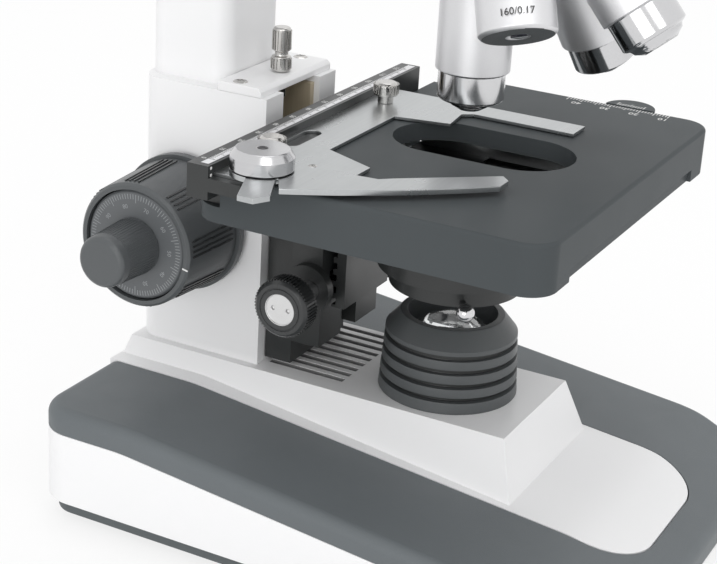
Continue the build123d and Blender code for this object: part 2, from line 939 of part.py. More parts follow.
def stage_plate():
    """Hollow cast stage with a slot, a back channel and a rebate for the slide bar."""
    plan = Pos(stage_shift_x, stage_shift_y) * Rectangle(stage_width, stage_depth)
    plan = fillet(plan.vertices(), stage_corner)
    plate = Pos(0, 0, stage_bottom) * extrude(plan, stage_thickness)
    plate = fillet(plate.faces().sort_by(Axis.Z)[-1].edges(), stage_edge_round)
    under = stage_bottom - cut_over
    over = stage_top + cut_over
    inside = (stage_left + stage_skirt, stage_right - stage_skirt)
    plate -= block(inside, (stage_front + stage_skirt, cavity_back), (under, ceiling))
    slot = Rot(0, 0, 90) * SlotOverall(slot_length, slot_width)
    plate -= Pos(0, slot_y, stage_bottom) * extrude(slot, stage_thickness + cut_over)
    wide = (stage_left - cut_over, stage_right + cut_over)
    plate -= block(wide, (rebate_front, stage_back + cut_over), (rebate_level, over))
    plate -= block(wide, (bar_front - seam, bar_back + seam), (ledge, over))
    knob_at = (knob_x, knob_y)
    wheel_low = teeth_top - knob_pinion_height - slack
    plate -= rod_z(knob_pinion_radius + seam, wheel_low, ceiling, knob_at)
    plate -= rod_z(knob_tube_radius + cut_over, under, ceiling, knob_at)
    strip = (stage_left + strip_inset, stage_right - strip_inset)
    lip = (stage_front - cut_over, stage_front + strip_depth)
    return plate - block(strip, lip, (under, stage_bottom + strip_height))


def stage_guides():
    """Guide strips under the stage that run along the rails."""
    outer = support_half - rail_width - running_fit
    span = (stage_front + 2 * stage_skirt, knob_y - knob_pinion_radius - rail_inset)
    pair = []
    for side in (-1, 1):
        x = sorted((side * outer, side * (outer - guide_width)))
        pair.append(block(x, span, (stage_bottom + slack, ceiling)).solid())
    return Compound(pair)


# Coaxial stage knobs

def knob_bracket():
    """Bearing under the stage for the two coaxial knobs."""
    reach = knob_tube_radius + knob_bearing_wall
    x = (knob_x - knob_pinion_radius + slack, knob_x + reach)
    arm = block(x, (knob_y - reach, bar_back), (bearing_low, carrier_top - knob_bearing_gap))
    back = knob_y + knob_pinion_radius + 2 * seam
    arm += block(x, (back, bar_back), (bearing_low, stage_bottom))
    bore = knob_tube_radius + running_fit
    return arm - rod_z(bore, bearing_low - cut_over, carrier_top, (knob_x, knob_y))


def y_shaft():
    """Tube shaft with the pinion that drives the stage to and fro."""
    low = carrier_top + slack
    high = support_top - slack
    tube = rod_z(knob_tube_radius, y_knob_low, high)
    tube += pinion(knob_pinion_radius, low, high, pinion_tooth, pinion_teeth)
    tube -= rod_z(knob_shaft_radius + running_fit, y_knob_low - cut_over, stage_top)
    return Pos(knob_x, knob_y, 0) * tube


def y_knob():
    """Upper coaxial knob."""
    high = bearing_low - seam
    knob = turned([
        (knob_tube_radius, y_knob_low),
        (y_knob_radius - knob_bevel, y_knob_low),
        (y_knob_radius, y_knob_low + knob_bevel),
        (y_knob_radius, high - knob_bevel),
        (y_knob_radius - knob_bevel, high),
        (knob_tube_radius, high),
    ])
    return Pos(knob_x, knob_y, 0) * knob


def x_shaft():
    """Inner shaft with the pinion that drives the slide bar."""
    shaft = rod_z(knob_shaft_radius, x_knob_low + stage_knob_cap, teeth_top)
    low = teeth_top - knob_pinion_height
    shaft += pinion(knob_pinion_radius, low, teeth_top, pinion_tooth, pinion_teeth)
    return Pos(knob_x, knob_y, 0) * shaft


def x_knob():
    """Lower coaxial knob."""
    high = y_knob_low - seam
    floor = x_knob_low + stage_knob_cap
    knob = turned([
        (0, x_knob_low),
        (x_knob_radius - knob_bevel, x_knob_low),
        (x_knob_radius, x_knob_low + knob_bevel),
        (x_knob_radius, high - knob_bevel),
        (x_knob_radius - knob_bevel, high),
        (knob_shaft_radius, high),
        (knob_shaft_radius, floor),
        (0, floor),
    ])
    return Pos(knob_x, knob_y, 0) * knob


# Slide holder

def x_bar():
    """Slide bar with its rack, its foot flange and its end block."""
    depth = (bar_front, bar_back)
    rack_left = bar_left + bar_block
    bar = block((bar_left, bar_right), depth, (teeth_top, stage_top + bar_rise))
    bar += block((rack_left, bar_right), depth, (bar_bottom, teeth_top))
    flange = (clip_x - clip_radius, screw_right_x + plate_finger)
    bar += block(flange, (rebate_front + slack, bar_front), (rebate_level + seam, plate_bottom))
    half = rack_gap / 2
    tooth = (bar_front - cut_over, bar_front + rack_tooth)
    for x in rack_steps(rack_left, bar_right):
        bar -= block((x - half, x + half), tooth, (bar_bottom - cut_over, teeth_top - slack))
    for x in (screw_left_x, screw_right_x):
        bar -= rod_z(screw_neck + running_fit, rebate_level, plate_top, (x, screw_y))
    return bar


def holder_plate():
    """Flat steel plate whose two arms and finger hold a glass slide."""
    inner = plate_right - plate_finger
    throat = inner - 1.4 * plate_finger
    left_arm = screw_left_x + plate_finger
    heel = clip_y - 0.6 * plate_finger
    outline = [
        (plate_left, bar_front), (plate_right, bar_front),
        (plate_right, plate_reach), (inner, plate_reach),
        (inner, plate_lip - 1.5), (inner - 2.5, plate_lip + 1.5),
        (throat, plate_lip), (throat - 3.8, plate_notch),
        (left_arm + 7.7, plate_notch), (left_arm, plate_lip),
        (screw_left_x - 1.8, plate_lip), (screw_left_x - 1.8, heel),
        (plate_left, heel),
    ]
    window = Pos(window_x, bar_front - 4.0) * SlotOverall(window_length, window_width)
    sheet = make_face(Polyline(*outline, close=True)) - window
    plate = Pos(0, 0, plate_bottom) * extrude(sheet, plate_thickness)
    through = (plate_bottom - cut_over, plate_top + cut_over)
    for x in (screw_left_x, screw_right_x):
        plate -= rod_z(screw_neck + running_fit, *through, (x, screw_y))
    return plate - rod_z(clip_pin, *through, (clip_x, clip_y))


def clip_pivot():
    """Riveted pin and two-tier cap that hold the clip lever."""
    low = lever_top + seam
    top = low + clip_boss_height
    well = clip_boss_bevel
    cap = turned([
        (0, low), (clip_radius, low), (clip_radius, low + clip_boss_wall),
        (clip_radius - clip_boss_bevel, top), (well, top), (well, top - slack), (0, top - slack),
    ])
    return Pos(clip_x, clip_y, 0) * (rod_z(clip_pin, plate_bottom, low) + cap)


def clip_lever():
    """Spring-loaded finger that presses the slide against the fixed finger."""
    tip = (finger_side, -finger_reach)
    half = finger_tip / 2
    bend = (0.25 * finger_side, -0.66 * finger_reach)
    outer = ThreePointArc((-1.3 * clip_radius, -1.35 * clip_radius), bend, (tip[0] - half, tip[1]))
    end = Polyline(outer @ 1, (tip[0] + half, tip[1]), (tip[0] + finger_tip, tip[1] + half))
    step = (finger_width + half, -0.55 * finger_reach)
    inner = Polyline(end @ 1, step, (finger_width, step[1] + half), (0.94 * clip_radius, 0))
    finger = make_face(outer + end + inner + Line(inner @ 1, outer @ 0))
    tab = make_face(Polyline(
        (-tab_width, -0.8 * clip_radius),
        (tab_width - tab_reach, -tab_drop - tab_width / 2),
        (-tab_reach, -tab_drop),
        (-tab_reach, tab_width - tab_drop),
        (-0.95 * clip_radius, 0),
        close=True,
    ))
    outline = finger + tab + Circle(clip_radius) - Circle(clip_pin + running_fit)
    return Pos(clip_x, clip_y, lever_low) * extrude(outline, clip_thickness)


def thumbscrew(x):
    """Knurled screw that clamps the holder plate to the slide bar."""
    low = rebate_level + screw_tip_gap
    head = plate_top + screw_collar_height
    top = head + screw_head
    collar = screw_neck + screw_collar
    screw = turned([
        (0, low), (screw_neck, low), (screw_neck, plate_top), (collar, plate_top), (collar, head),
        (screw_radius, head), (screw_radius, top - knob_bevel), (screw_radius - knob_bevel, top), (0, top),
    ])
    return Pos(x, screw_y, 0) * screw


# Condenser

def condenser_carrier():
    """Slider with the ring that holds the condenser."""
    levels = (slider_bottom, slider_top)
    body = block((-slider_half, slider_half), (slider_front, slider_back), levels)
    body += block((-key_half, key_half), (slider_front, bracket_front + key_depth), levels)
    neck = (holder_bottom + cut_over, holder_top - cut_over)
    body += block((-holder_neck, holder_neck), (condenser_radius, slider_front), neck)
    body += rod_z(holder_radius, holder_bottom, holder_top)
    body -= rod_z(condenser_radius, holder_bottom - cut_over, holder_top + cut_over)
    side = (-slider_half - cut_over, -key_half)
    tall = (slider_bottom - cut_over, slider_top + cut_over)
    body -= block(side, (condenser_teeth, slider_back + cut_over), tall)
    half = rack_gap / 2
    tooth = (condenser_teeth - rack_tooth, condenser_teeth + cut_over)
    for level in rack_steps(slider_bottom, slider_top):
        body -= block(side, tooth, (level - half, level + half))
    return body


def condenser_barrel():
    """Turned condenser body, hollow, with a conical top."""
    shoulder = condenser_top - condenser_cone
    seat = condenser_top - condenser_lens_height
    rim = condenser_lens_radius + 2.5
    return turned([
        (condenser_bore, condenser_low), (condenser_radius, condenser_low), (condenser_radius, shoulder),
        (condenser_radius - 3.0, seat), (rim, condenser_top), (condenser_lens_radius, condenser_top),
        (condenser_lens_radius, seat), (condenser_lens_radius - 1.0, seat),
        (condenser_lens_radius - 1.0, seat - 1.0), (condenser_bore, seat - 2.0),
    ])


def condenser_lens():
    """Top lens of the condenser."""
    radius = condenser_lens_radius - running_fit
    low = condenser_top - condenser_lens_height
    return turned([
        (0, low), (radius, low), (radius, condenser_top - 1.0),
        (0.7 * radius, condenser_top - seam), (0, condenser_top),
    ])


def iris_ring():
    """Diaphragm ring with its lever and ball."""
    top = condenser_low - seam
    low = top - iris_height
    level = (low + top) / 2 - iris_rod
    lever = rod_x(iris_rod, iris_radius - iris_ball, iris_reach, 0, level)
    ball = Pos(iris_reach, 0, level) * Sphere(iris_ball)
    return ring_z(iris_radius, iris_bore, low, top) + Rot(0, 0, iris_angle) * (lever + ball)


def condenser_shaft():
    """Short shaft with the condenser pinion cut on its end."""
    low = condenser_shaft_cap - condenser_knob_face
    teeth_end = cut_over - slider_half
    rod = rod_x(condenser_shaft_radius, low, teeth_end, condenser_knob_y, condenser_knob_height)
    wheel = pinion(condenser_shaft_radius, teeth_end, -key_half - drum_gap, slack, 9)
    return rod + Pos(0, condenser_knob_y, condenser_knob_height) * Rot(0, 90, 0) * wheel


def condenser_knob():
    """Condenser knob with a bright cap let into its face."""
    face = condenser_knob_face
    low = face - condenser_knob_length
    floor = face - condenser_shaft_cap
    knob = turned([
        (condenser_shaft_radius, low), (condenser_knob_radius - knob_bevel, low),
        (condenser_knob_radius, low + knob_bevel), (condenser_knob_radius, face - knob_bevel),
        (condenser_knob_radius - knob_bevel, face), (condenser_cap_radius, face),
        (condenser_cap_radius, face - slack), (0, face - slack), (0, floor),
        (condenser_shaft_radius, floor),
    ])
    return Pos(0, condenser_knob_y, condenser_knob_height) * Rot(0, -90, 0) * knob


# Nosepiece and objectives

def objective_place(index):
    """Frame of one objective, with Z along it and its origin at the cone's apex."""
    return turret_plane.location * Rot(0, 0, 360 * index / turret_seats) * Rot(turret_tilt, 0, 0)


def nosepiece_mount():
    """Fixed disc under the arm that carries the turret."""
    low = turret_back - seam
    disc = turned([
        (0, mount_axial), (mount_radius, mount_axial), (mount_radius, low - knob_bevel),
        (mount_radius - knob_bevel, low), (0, low),
    ])
    return turret_plane.location * disc - rod_z(light_bore, column_top, arm_top)


def turret():
    """Domed turret with its threaded seats."""
    tip = seat_axial + (turret_pitch - turret_flat) * tan(radians(turret_tilt))
    dome = turret_plane.location * turned([
        (0, turret_back), (turret_radius, turret_back), (turret_radius, rim_axial),
        (turret_flat, tip), (0, tip),
    ])
    seat_low = shoulder_reach - objective_seat_depth - slack
    seat = rod_z(objective_seat_radius, seat_low, shoulder_reach + turret_rim)
    bore = rod_z(light_bore, shoulder_reach - mount_radius, shoulder_reach)
    for index in range(turret_seats):
        dome -= objective_place(index) * (seat + bore)
    return dome


def objective(index, length, tip):
    """Objective with a barrel, a bright nose and a stepped tip."""
    low = shoulder_reach
    top = low + length
    root = low - objective_seat_depth
    stub = objective_seat_radius - running_fit
    nose = top - nose_length
    shape = turned([
        (light_bore, root), (stub, root), (stub, low), (objective_radius, low),
        (objective_radius, nose - objective_taper), (nose_radius, nose - 0.9 * objective_taper),
        (nose_radius, top - 3.8), (nose_radius - 0.8, top - 3.2), (tip + 3.2, top - 2.8),
        (tip + 2.6, top - 1.6), (tip, top), (0, top), (0, top - 2.5), (light_bore, nose - 6.0),
    ])
    return objective_place(index) * shape


def objective_scanning(index):
    """Short scanning objective with a wide front face."""
    low = shoulder_reach
    top = low + objective_scan_length
    root = low - objective_seat_depth
    stub = objective_seat_radius - running_fit
    shape = turned([
        (light_bore, root), (stub, root), (stub, low), (objective_radius, low),
        (objective_radius, top - knob_bevel), (objective_radius - knob_bevel, top), (tip_small, top),
        (tip_small - knob_bevel, top - knob_bevel), (0, top - knob_bevel), (0, top - 4.0),
        (light_bore, top - 6.0),
    ])
    return objective_place(index) * shape


# Head

def head_collar():
    """Ring on the arm that the head turns in."""
    ring = ring_z(collar_radius, spigot_radius + running_fit, arm_top, arm_top + collar_height)
    return ring - rod_x(clamp_radius + running_fit, 0, collar_radius + cut_over, 0, clamp_level)


def head_housing():
    """Prism housing that turns on the collar."""
    shell = Pos(0, 0, head_centre) * Sphere(head_radius)
    body = rod_z(head_radius, head_low, head_centre) + shell
    body += rod_z(collar_radius + cut_over, head_low, head_low + head_skirt)
    body += rod_z(spigot_radius, arm_top + seam, head_low + cut_over)
    body += tube_place * rod_z(tube_radius + tube_socket, 0, tube_start)
    body -= Pos(0, 0, head_centre) * Sphere(head_radius - head_wall)
    way = light_bore + 2.0
    body -= rod_z(way, arm_top, head_centre)
    return body - tube_place * rod_z(way, 0, tube_start + cut_over)


def head_prism():
    """Glass prism that bends the light into the tube."""
    half = (head_radius - head_wall) * 0.565
    wedge = Polyline((-half, -half), (half, -half), (half, half), (-half, half * 0.4), close=True)
    return Pos(0, 0, head_centre) * extrude(Plane.YZ * make_face(wedge), half, both=True)


def eyepiece_tube():
    """Inclined tube that takes the eyepiece."""
    return tube_place * ring_z(tube_radius, tube_bore, tube_start, tube_end)


def eyepiece():
    """Push-in eyepiece with a flared cap."""
    low = tube_end - eyepiece_insert
    plug = tube_bore - running_fit
    shape = turned([
        (eye_lens_radius, low), (plug, low), (plug, tube_end), (eyepiece_radius - 1.5, tube_end),
        (eyepiece_radius, tube_end + 3.0), (eyepiece_radius, eyepiece_top - 2.0),
        (eyepiece_radius - 2.0, eyepiece_top), (eye_lens_radius + 1.5, eyepiece_top),
        (eye_lens_radius, eyepiece_top - 2.5),
    ])
    return tube_place * shape


def eye_lens():
    """Glass in the top of the eyepiece."""
    top = eyepiece_top - 2.6
    low = top - eye_lens_height
    shape = turned([(0, low), (eye_lens_radius, low), (eye_lens_radius, top - 1.0), (0, top)])
    return tube_place * shape


def head_clamp_screw():
    """Knurled screw that locks the head in its collar."""
    start = collar_radius + clamp_gap
    neck = rod_x(clamp_radius, spigot_radius + cut_over, start, 0, clamp_level)
    return neck + rod_x(clamp_knob_radius, start, start + clamp_knob_length, 0, clamp_level)


def stop_screw():
    """Two-tier knurled screw that limits the upward focus travel."""
    nut = cover_plate_top + seam
    waist = nut + stop_nut_height
    low = column_top - stop_screw_reach
    top = nut + stop_screw_height
    radius = stop_screw_radius
    rim = radius + seam
    groove = radius - stop_screw_groove
    screw = turned([
        (0, low), (stop_screw_neck, low), (stop_screw_neck, nut), (rim, nut), (rim, waist),
        (groove, waist + seam), (groove, waist + 1.6), (radius, waist + 1.9),
        (radius, top - slack), (radius - slack, top), (0, top),
    ])
    return Pos(0, stop_screw_y, 0) * screw


def main():
    """Make every piece and write it."""
    pieces = {
        "base_casting": base_casting(),
        "deck_cover": deck_cover(),
        "bottom_plate": bottom_plate(),
        "rubber_feet": rubber_feet(),
        "power_socket": power_socket(),
        "switch_bezel": switch_bezel(),
        "switch_rocker": switch_rocker(),
        "brightness_knob": brightness_knob(),
        "circuit_board": circuit_board(),
        "lamp_housing": lamp_housing(),
        "collector_lens": collector_lens(),
        "lamp_board": lamp_board(),
        "arm_casting": arm_casting(),
        "focus_cover_plate": focus_cover_plate(),
        "guide_strips": guide_strips(),
        "focus_bushes": focus_bushes(),
        "coarse_tube": coarse_tube(),
        "coarse_knobs": coarse_knobs(),
        "fine_shaft": fine_shaft(),
        "fine_dials": fine_dials(),
        "fine_knobs": fine_knobs(),
        "focus_carrier": focus_carrier(),
        "focus_rack": focus_rack(),
        "stage_support": stage_support(),
        "stage_rails": stage_rails(),
        "y_rack": y_rack(),
        "vernier_index": vernier_index(),
        "stage_plate": stage_plate(),
        "stage_guides": stage_guides(),
        "knob_bracket": knob_bracket(),
        "y_shaft": y_shaft(),
        "y_knob": y_knob(),
        "x_shaft": x_shaft(),
        "x_knob": x_knob(),
        "x_bar": x_bar(),
        "holder_plate": holder_plate(),
        "clip_pivot": clip_pivot(),
        "clip_lever": clip_lever(),
        "thumbscrew_left": thumbscrew(screw_left_x),
        "thumbscrew_right": thumbscrew(screw_right_x),
        "condenser_carrier": condenser_carrier(),
        "condenser_barrel": condenser_barrel(),
        "condenser_lens": condenser_lens(),
        "iris_ring": iris_ring(),
        "condenser_shaft": condenser_shaft(),
        "condenser_knob": condenser_knob(),
        "nosepiece_mount": nosepiece_mount(),
        "turret": turret(),
        "objective_high": objective(0, objective_length, tip_small),
        "objective_oil": objective(1, objective_length, tip_small),
        "objective_low": objective(2, objective_low_length, tip_wide),
        "objective_scanning": objective_scanning(3),
        "head_collar": head_collar(),
        "head_housing": head_housing(),
        "head_prism": head_prism(),
        "eyepiece_tube": eyepiece_tube(),
        "eyepiece": eyepiece(),
        "eye_lens": eye_lens(),
        "head_clamp_screw": head_clamp_screw(),
        "stop_screw": stop_screw(),
    }
    for name, shape in pieces.items():
        save(shape, name)


main()
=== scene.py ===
"""Looks of an upright microscope with a mechanical stage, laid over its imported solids."""

import json
import logging
import math
from dataclasses import dataclass
from enum import Enum
from functools import cache
from typing import Callable, ClassVar, Optional, Sequence, Union

import bmesh
import bpy
from bpy.types import ID, Material, Mesh, Node, NodeSocket, NodeTree, Object
from mathutils import Euler, Matrix, Vector

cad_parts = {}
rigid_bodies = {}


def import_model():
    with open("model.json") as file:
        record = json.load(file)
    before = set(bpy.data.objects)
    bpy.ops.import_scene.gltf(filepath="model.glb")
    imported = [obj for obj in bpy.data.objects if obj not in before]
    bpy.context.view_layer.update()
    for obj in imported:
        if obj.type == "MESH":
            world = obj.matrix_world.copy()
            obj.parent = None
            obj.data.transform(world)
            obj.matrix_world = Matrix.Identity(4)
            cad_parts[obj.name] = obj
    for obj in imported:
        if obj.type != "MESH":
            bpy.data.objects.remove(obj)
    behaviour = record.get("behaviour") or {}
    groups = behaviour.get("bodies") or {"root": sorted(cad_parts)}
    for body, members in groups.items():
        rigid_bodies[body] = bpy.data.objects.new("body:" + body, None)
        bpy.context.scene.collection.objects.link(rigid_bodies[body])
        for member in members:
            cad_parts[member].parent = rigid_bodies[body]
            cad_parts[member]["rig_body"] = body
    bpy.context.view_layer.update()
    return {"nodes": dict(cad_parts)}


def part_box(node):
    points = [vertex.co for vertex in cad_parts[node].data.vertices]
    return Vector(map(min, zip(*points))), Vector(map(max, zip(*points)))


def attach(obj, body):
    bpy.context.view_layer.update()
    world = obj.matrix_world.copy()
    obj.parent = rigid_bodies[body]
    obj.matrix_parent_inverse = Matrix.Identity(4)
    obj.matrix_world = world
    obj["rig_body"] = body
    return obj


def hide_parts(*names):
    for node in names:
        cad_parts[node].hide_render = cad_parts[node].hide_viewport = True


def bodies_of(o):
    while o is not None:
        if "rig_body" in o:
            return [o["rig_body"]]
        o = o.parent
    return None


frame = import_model()
LOG = logging.getLogger("microscope")

MM = 0.001
Pair = tuple[float, float]
Triple = tuple[float, float, float]
Value = Union[float, Triple, NodeSocket]


def middle(node: str) -> Vector:
    """Middle of a CAD node's box, in metres."""
    low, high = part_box(node)
    return (low + high) / 2


def on_top(node: str, rise: float = 0.0) -> Vector:
    """Point over a CAD node's middle, a number of millimetres above its top."""
    spot, high = middle(node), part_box(node)[1]
    return Vector((spot.x, spot.y, high.z + rise * MM))


OPTICAL_Y = middle("lamp_housing").y


def at(x: float, y: float, z: float) -> Vector:
    """Point in metres from millimetres measured from the optical axis.

    Args:
        x: millimetres to the right of the axis, seen from the front.
        y: millimetres behind the axis.
        z: millimetres above the table.

    Returns:
        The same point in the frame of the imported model.
    """
    return Vector((x * MM, OPTICAL_Y + y * MM, z * MM))


def place(spot: Vector, turn: Triple = (0.0, 0.0, 0.0)) -> Matrix:
    """Matrix that turns a mesh by degrees about X, Y and Z and moves it to a spot.

    Args:
        spot: where the mesh's own origin goes, in metres.
        turn: angles in degrees.

    Returns:
        The placing matrix.
    """
    angles = Euler([math.radians(a) for a in turn], "XYZ")
    return Matrix.Translation(spot) @ angles.to_matrix().to_4x4()


# Node trees


class Graph:
    """Short way to add nodes to a tree and to feed them."""

    def __init__(self, tree: NodeTree) -> None:
        """Keep the tree that the nodes go into."""
        self.tree = tree

    def feed(self, node: Node, inputs: dict) -> None:
        """Give a node its values and links.

        Args:
            node: node of the tree.
            inputs: values or sockets by input name or number.
        """
        for key, value in inputs.items():
            if isinstance(value, NodeSocket):
                self.tree.links.new(value, node.inputs[key])
            else:
                node.inputs[key].default_value = value

    def add(self, kind: str, inputs: Optional[dict] = None, **settings: object) -> Node:
        """Add one node.

        Args:
            kind: Blender's name of the node type.
            inputs: values or sockets by input name or number.
            settings: attributes of the node.

        Returns:
            The new node.
        """
        node = self.tree.nodes.new(kind)
        for key, value in settings.items():
            setattr(node, key, value)
        self.feed(node, inputs or {})
        return node

    def first(self, kind: str, inputs: Optional[dict] = None, **settings: object) -> NodeSocket:
        """First output of a new node."""
        return self.add(kind, inputs, **settings).outputs[0]

    def effect(self, tree: NodeTree, inputs: dict) -> bpy.types.bpy_prop_collection:
        """Outputs of a new node that stands for a shader group."""
        return self.add("ShaderNodeGroup", inputs, node_tree=tree).outputs

    def maths(self, step: str, *values: Value) -> NodeSocket:
        """Result of one Math node on sockets or numbers."""
        return self.first("ShaderNodeMath", dict(enumerate(values)), operation=step)

    def vector(self, step: str, *values: Value) -> NodeSocket:
        """Result of one Vector Math node on sockets or triples."""
        return self.first("ShaderNodeVectorMath", dict(enumerate(values)), operation=step)


def new_group(name: str, kind: str, takes: dict[str, str], gives: dict[str, str]) -> Graph:
    """Empty node group with named sockets.

    Args:
        name: name of the group.
        kind: Shader or Geometry.
        takes: kind of each input by name.
        gives: kind of each output by name.

    Returns:
        A graph on the new group.
    """
    tree = bpy.data.node_groups.new(name, f"{kind}NodeTree")
    for way, sockets in (("INPUT", takes), ("OUTPUT", gives)):
        for label, sort in sockets.items():
            tree.interface.new_socket(name=label, in_out=way, socket_type=f"NodeSocket{sort}")
    return Graph(tree)


def new_material(name: str) -> tuple[Material, Graph, Node]:
    """Material with its graph and its Principled BSDF.

    Args:
        name: name of the material.

    Returns:
        The material, the graph on its nodes and the shader.
    """
    material = bpy.data.materials.new(name)
    material.use_nodes = True
    return material, Graph(material.node_tree), material.node_tree.nodes["Principled BSDF"]


class SharedEffects:
    """Shader groups that several finishes use, each built once."""

    noise_span: ClassVar[dict[int, float]] = {1: 0.3, 2: 0.7}

    @staticmethod
    @cache
    def fine_grain() -> NodeTree:
        """Fine grain over soft clouds, as a tint mask and a height.

        Returns:
            The node group.
        """
        g = new_group(
            "fine_grain", "Shader", {"Vector": "Vector", "Grain": "Float", "Clouds": "Float"},
            {"Tint": "Float", "Height": "Float"},
        )
        source = g.add("NodeGroupInput").outputs
        spot = source["Vector"]
        grain = g.first(
            "ShaderNodeTexNoise", {"Vector": spot, "Scale": source["Grain"], "Detail": 3.0, "Roughness": 0.6}
        )
        clouds = g.first("ShaderNodeTexNoise", {"Vector": spot, "Scale": source["Clouds"], "Detail": 2.0})
        mixed = g.maths("ADD", g.maths("MULTIPLY", grain, 0.5), g.maths("MULTIPLY", clouds, 0.5))
        tint = g.first("ShaderNodeMapRange", {0: mixed, **SharedEffects.noise_span})
        g.add("NodeGroupOutput", {"Tint": tint, "Height": grain})
        return g.tree

    @staticmethod
    @cache
    def handling() -> NodeTree:
        """Patches that hands and wiping leave, as a roughness.

        Returns:
            The node group.
        """
        g = new_group(
            "handling", "Shader", {"Vector": "Vector", "Size": "Float", "Low": "Float", "High": "Float"},
            {"Roughness": "Float"},
        )
        source = g.add("NodeGroupInput").outputs
        patches = g.first(
            "ShaderNodeTexNoise",
            {"Vector": source["Vector"], "Scale": source["Size"], "Detail": 4.0, "Distortion": 0.6},
        )
        span = {0: patches, **SharedEffects.noise_span, 3: source["Low"], 4: source["High"]}
        g.add("NodeGroupOutput", {"Roughness": g.first("ShaderNodeMapRange", span)})
        return g.tree

    @staticmethod
    @cache
    def lathe_lines() -> NodeTree:
        """Coordinates that run across the lines of a lathe round the Z axis.

        Returns:
            The node group.
        """
        g = new_group("lathe_lines", "Shader", {"Vector": "Vector"}, {"Vector": "Vector"})
        source = g.first("NodeGroupInput")
        across = g.vector("MULTIPLY", source, (1.0, 1.0, 0.0))
        radius = g.add("ShaderNodeVectorMath", {0: across}, operation="LENGTH").outputs["Value"]
        height = g.add("ShaderNodeSeparateXYZ", {0: source}).outputs["Z"]
        g.add("NodeGroupOutput", {"Vector": g.first("ShaderNodeCombineXYZ", {"X": radius, "Y": height})})
        return g.tree


# Finishes


class Grain(Enum):
    """How the fine marks of a surface lie."""

    EVEN = "even"
    BRUSHED = "brushed"
    TURNED = "turned"


@dataclass(frozen=True)
class Coating:
    """Surface, with the name of its slot."""

    name: str
    slot: str

    def material(self) -> Material:
        """The surface as a material, made once.

        Returns:
            The material.
        """
        known = bpy.data.materials.get(self.name)
        if known:
            return known
        material, g, shader = new_material(self.name)
        self.wire(g, shader)
        return material

    def wire(self, g: Graph, shader: Node) -> None:
        """Feed the shader; each kind of surface has its own way."""
        raise NotImplementedError


@dataclass(frozen=True)
class Finish(Coating):
    """Opaque surface with a fine grain, soft clouds and hand-worn patches."""

    colour: Triple
    shade: Triple
    roughness: Pair
    metallic: float = 0.0
    grain: Grain = Grain.EVEN
    grain_scale: float = 900.0
    lie: Triple = (1.0, 1.0, 1.0)
    centre: Triple = (0.0, 0.0, 0.0)
    bump: float = 0.1
    coat: float = 0.0
    specular: float = 0.5

    cloud_scale: ClassVar[float] = 25.0
    patch_scale: ClassVar[float] = 75.0
    bump_depth: ClassVar[float] = 0.2 * MM
    coat_roughness: ClassVar[float] = 0.12

    def wire(self, g: Graph, shader: Node) -> None:
        """Feed the shader from the shared effects.

        Args:
            g: graph of the material.
            shader: its Principled BSDF.
        """
        spot = g.add("ShaderNodeTexCoord").outputs["Object"]
        fine = g.effect(
            SharedEffects.fine_grain(),
            {"Vector": self.lines(g, spot), "Grain": self.grain_scale, "Clouds": self.cloud_scale},
        )
        low, high = self.roughness
        worn = g.effect(
            SharedEffects.handling(), {"Vector": spot, "Size": self.patch_scale, "Low": low, "High": high}
        )
        tints = {0: fine["Tint"], 6: (*self.colour, 1.0), 7: (*self.shade, 1.0)}
        bump = {"Strength": self.bump, "Distance": self.bump_depth, "Height": fine["Height"]}
        g.feed(shader, {
            "Base Color": g.add("ShaderNodeMix", tints, data_type="RGBA").outputs[2],
            "Roughness": worn["Roughness"],
            "Normal": g.first("ShaderNodeBump", bump),
            "Metallic": self.metallic,
            "Specular IOR Level": self.specular,
            "Coat Weight": self.coat,
            "Coat Roughness": self.coat_roughness,
        })

    def lines(self, g: Graph, spot: NodeSocket) -> NodeSocket:
        """Coordinates for the fine marks, stretched as they lie.

        Args:
            g: graph of the material.
            spot: Object coordinates.

        Returns:
            The coordinates that the grain is read at.
        """
        if self.grain is Grain.BRUSHED:
            return g.vector("MULTIPLY", spot, self.lie)
        if self.grain is Grain.TURNED:
            about = g.vector("SUBTRACT", spot, self.centre)
            return g.effect(SharedEffects.lathe_lines(), {"Vector": about})["Vector"]
        return spot


@dataclass(frozen=True)
class Glass(Coating):
    """Clear ground glass with a faint film on it."""

    tint: Triple
    ior: float = 1.52

    film: ClassVar[dict[str, float]] = {"Size": 180.0, "Low": 0.0, "High": 0.03}

    def wire(self, g: Graph, shader: Node) -> None:
        """Feed the shader, and let shadows and soft light straight through.

        Args:
            g: graph of the material.
            shader: its Principled BSDF.
        """
        tint = (*self.tint, 1.0)
        spot = g.add("ShaderNodeTexCoord").outputs["Object"]
        film = g.effect(SharedEffects.handling(), {"Vector": spot, **self.film})
        g.feed(shader, {
            "Base Color": tint, "Transmission Weight": 1.0, "IOR": self.ior, "Roughness": film["Roughness"],
        })
        path = g.add("ShaderNodeLightPath").outputs
        soft = g.maths("MAXIMUM", path["Is Shadow Ray"], path["Is Diffuse Ray"])
        clear = g.first("ShaderNodeBsdfTransparent", {"Color": tint})
        both = g.first("ShaderNodeMixShader", {0: soft, 1: shader.outputs[0], 2: clear})
        g.feed(g.tree.nodes["Material Output"], {"Surface": both})


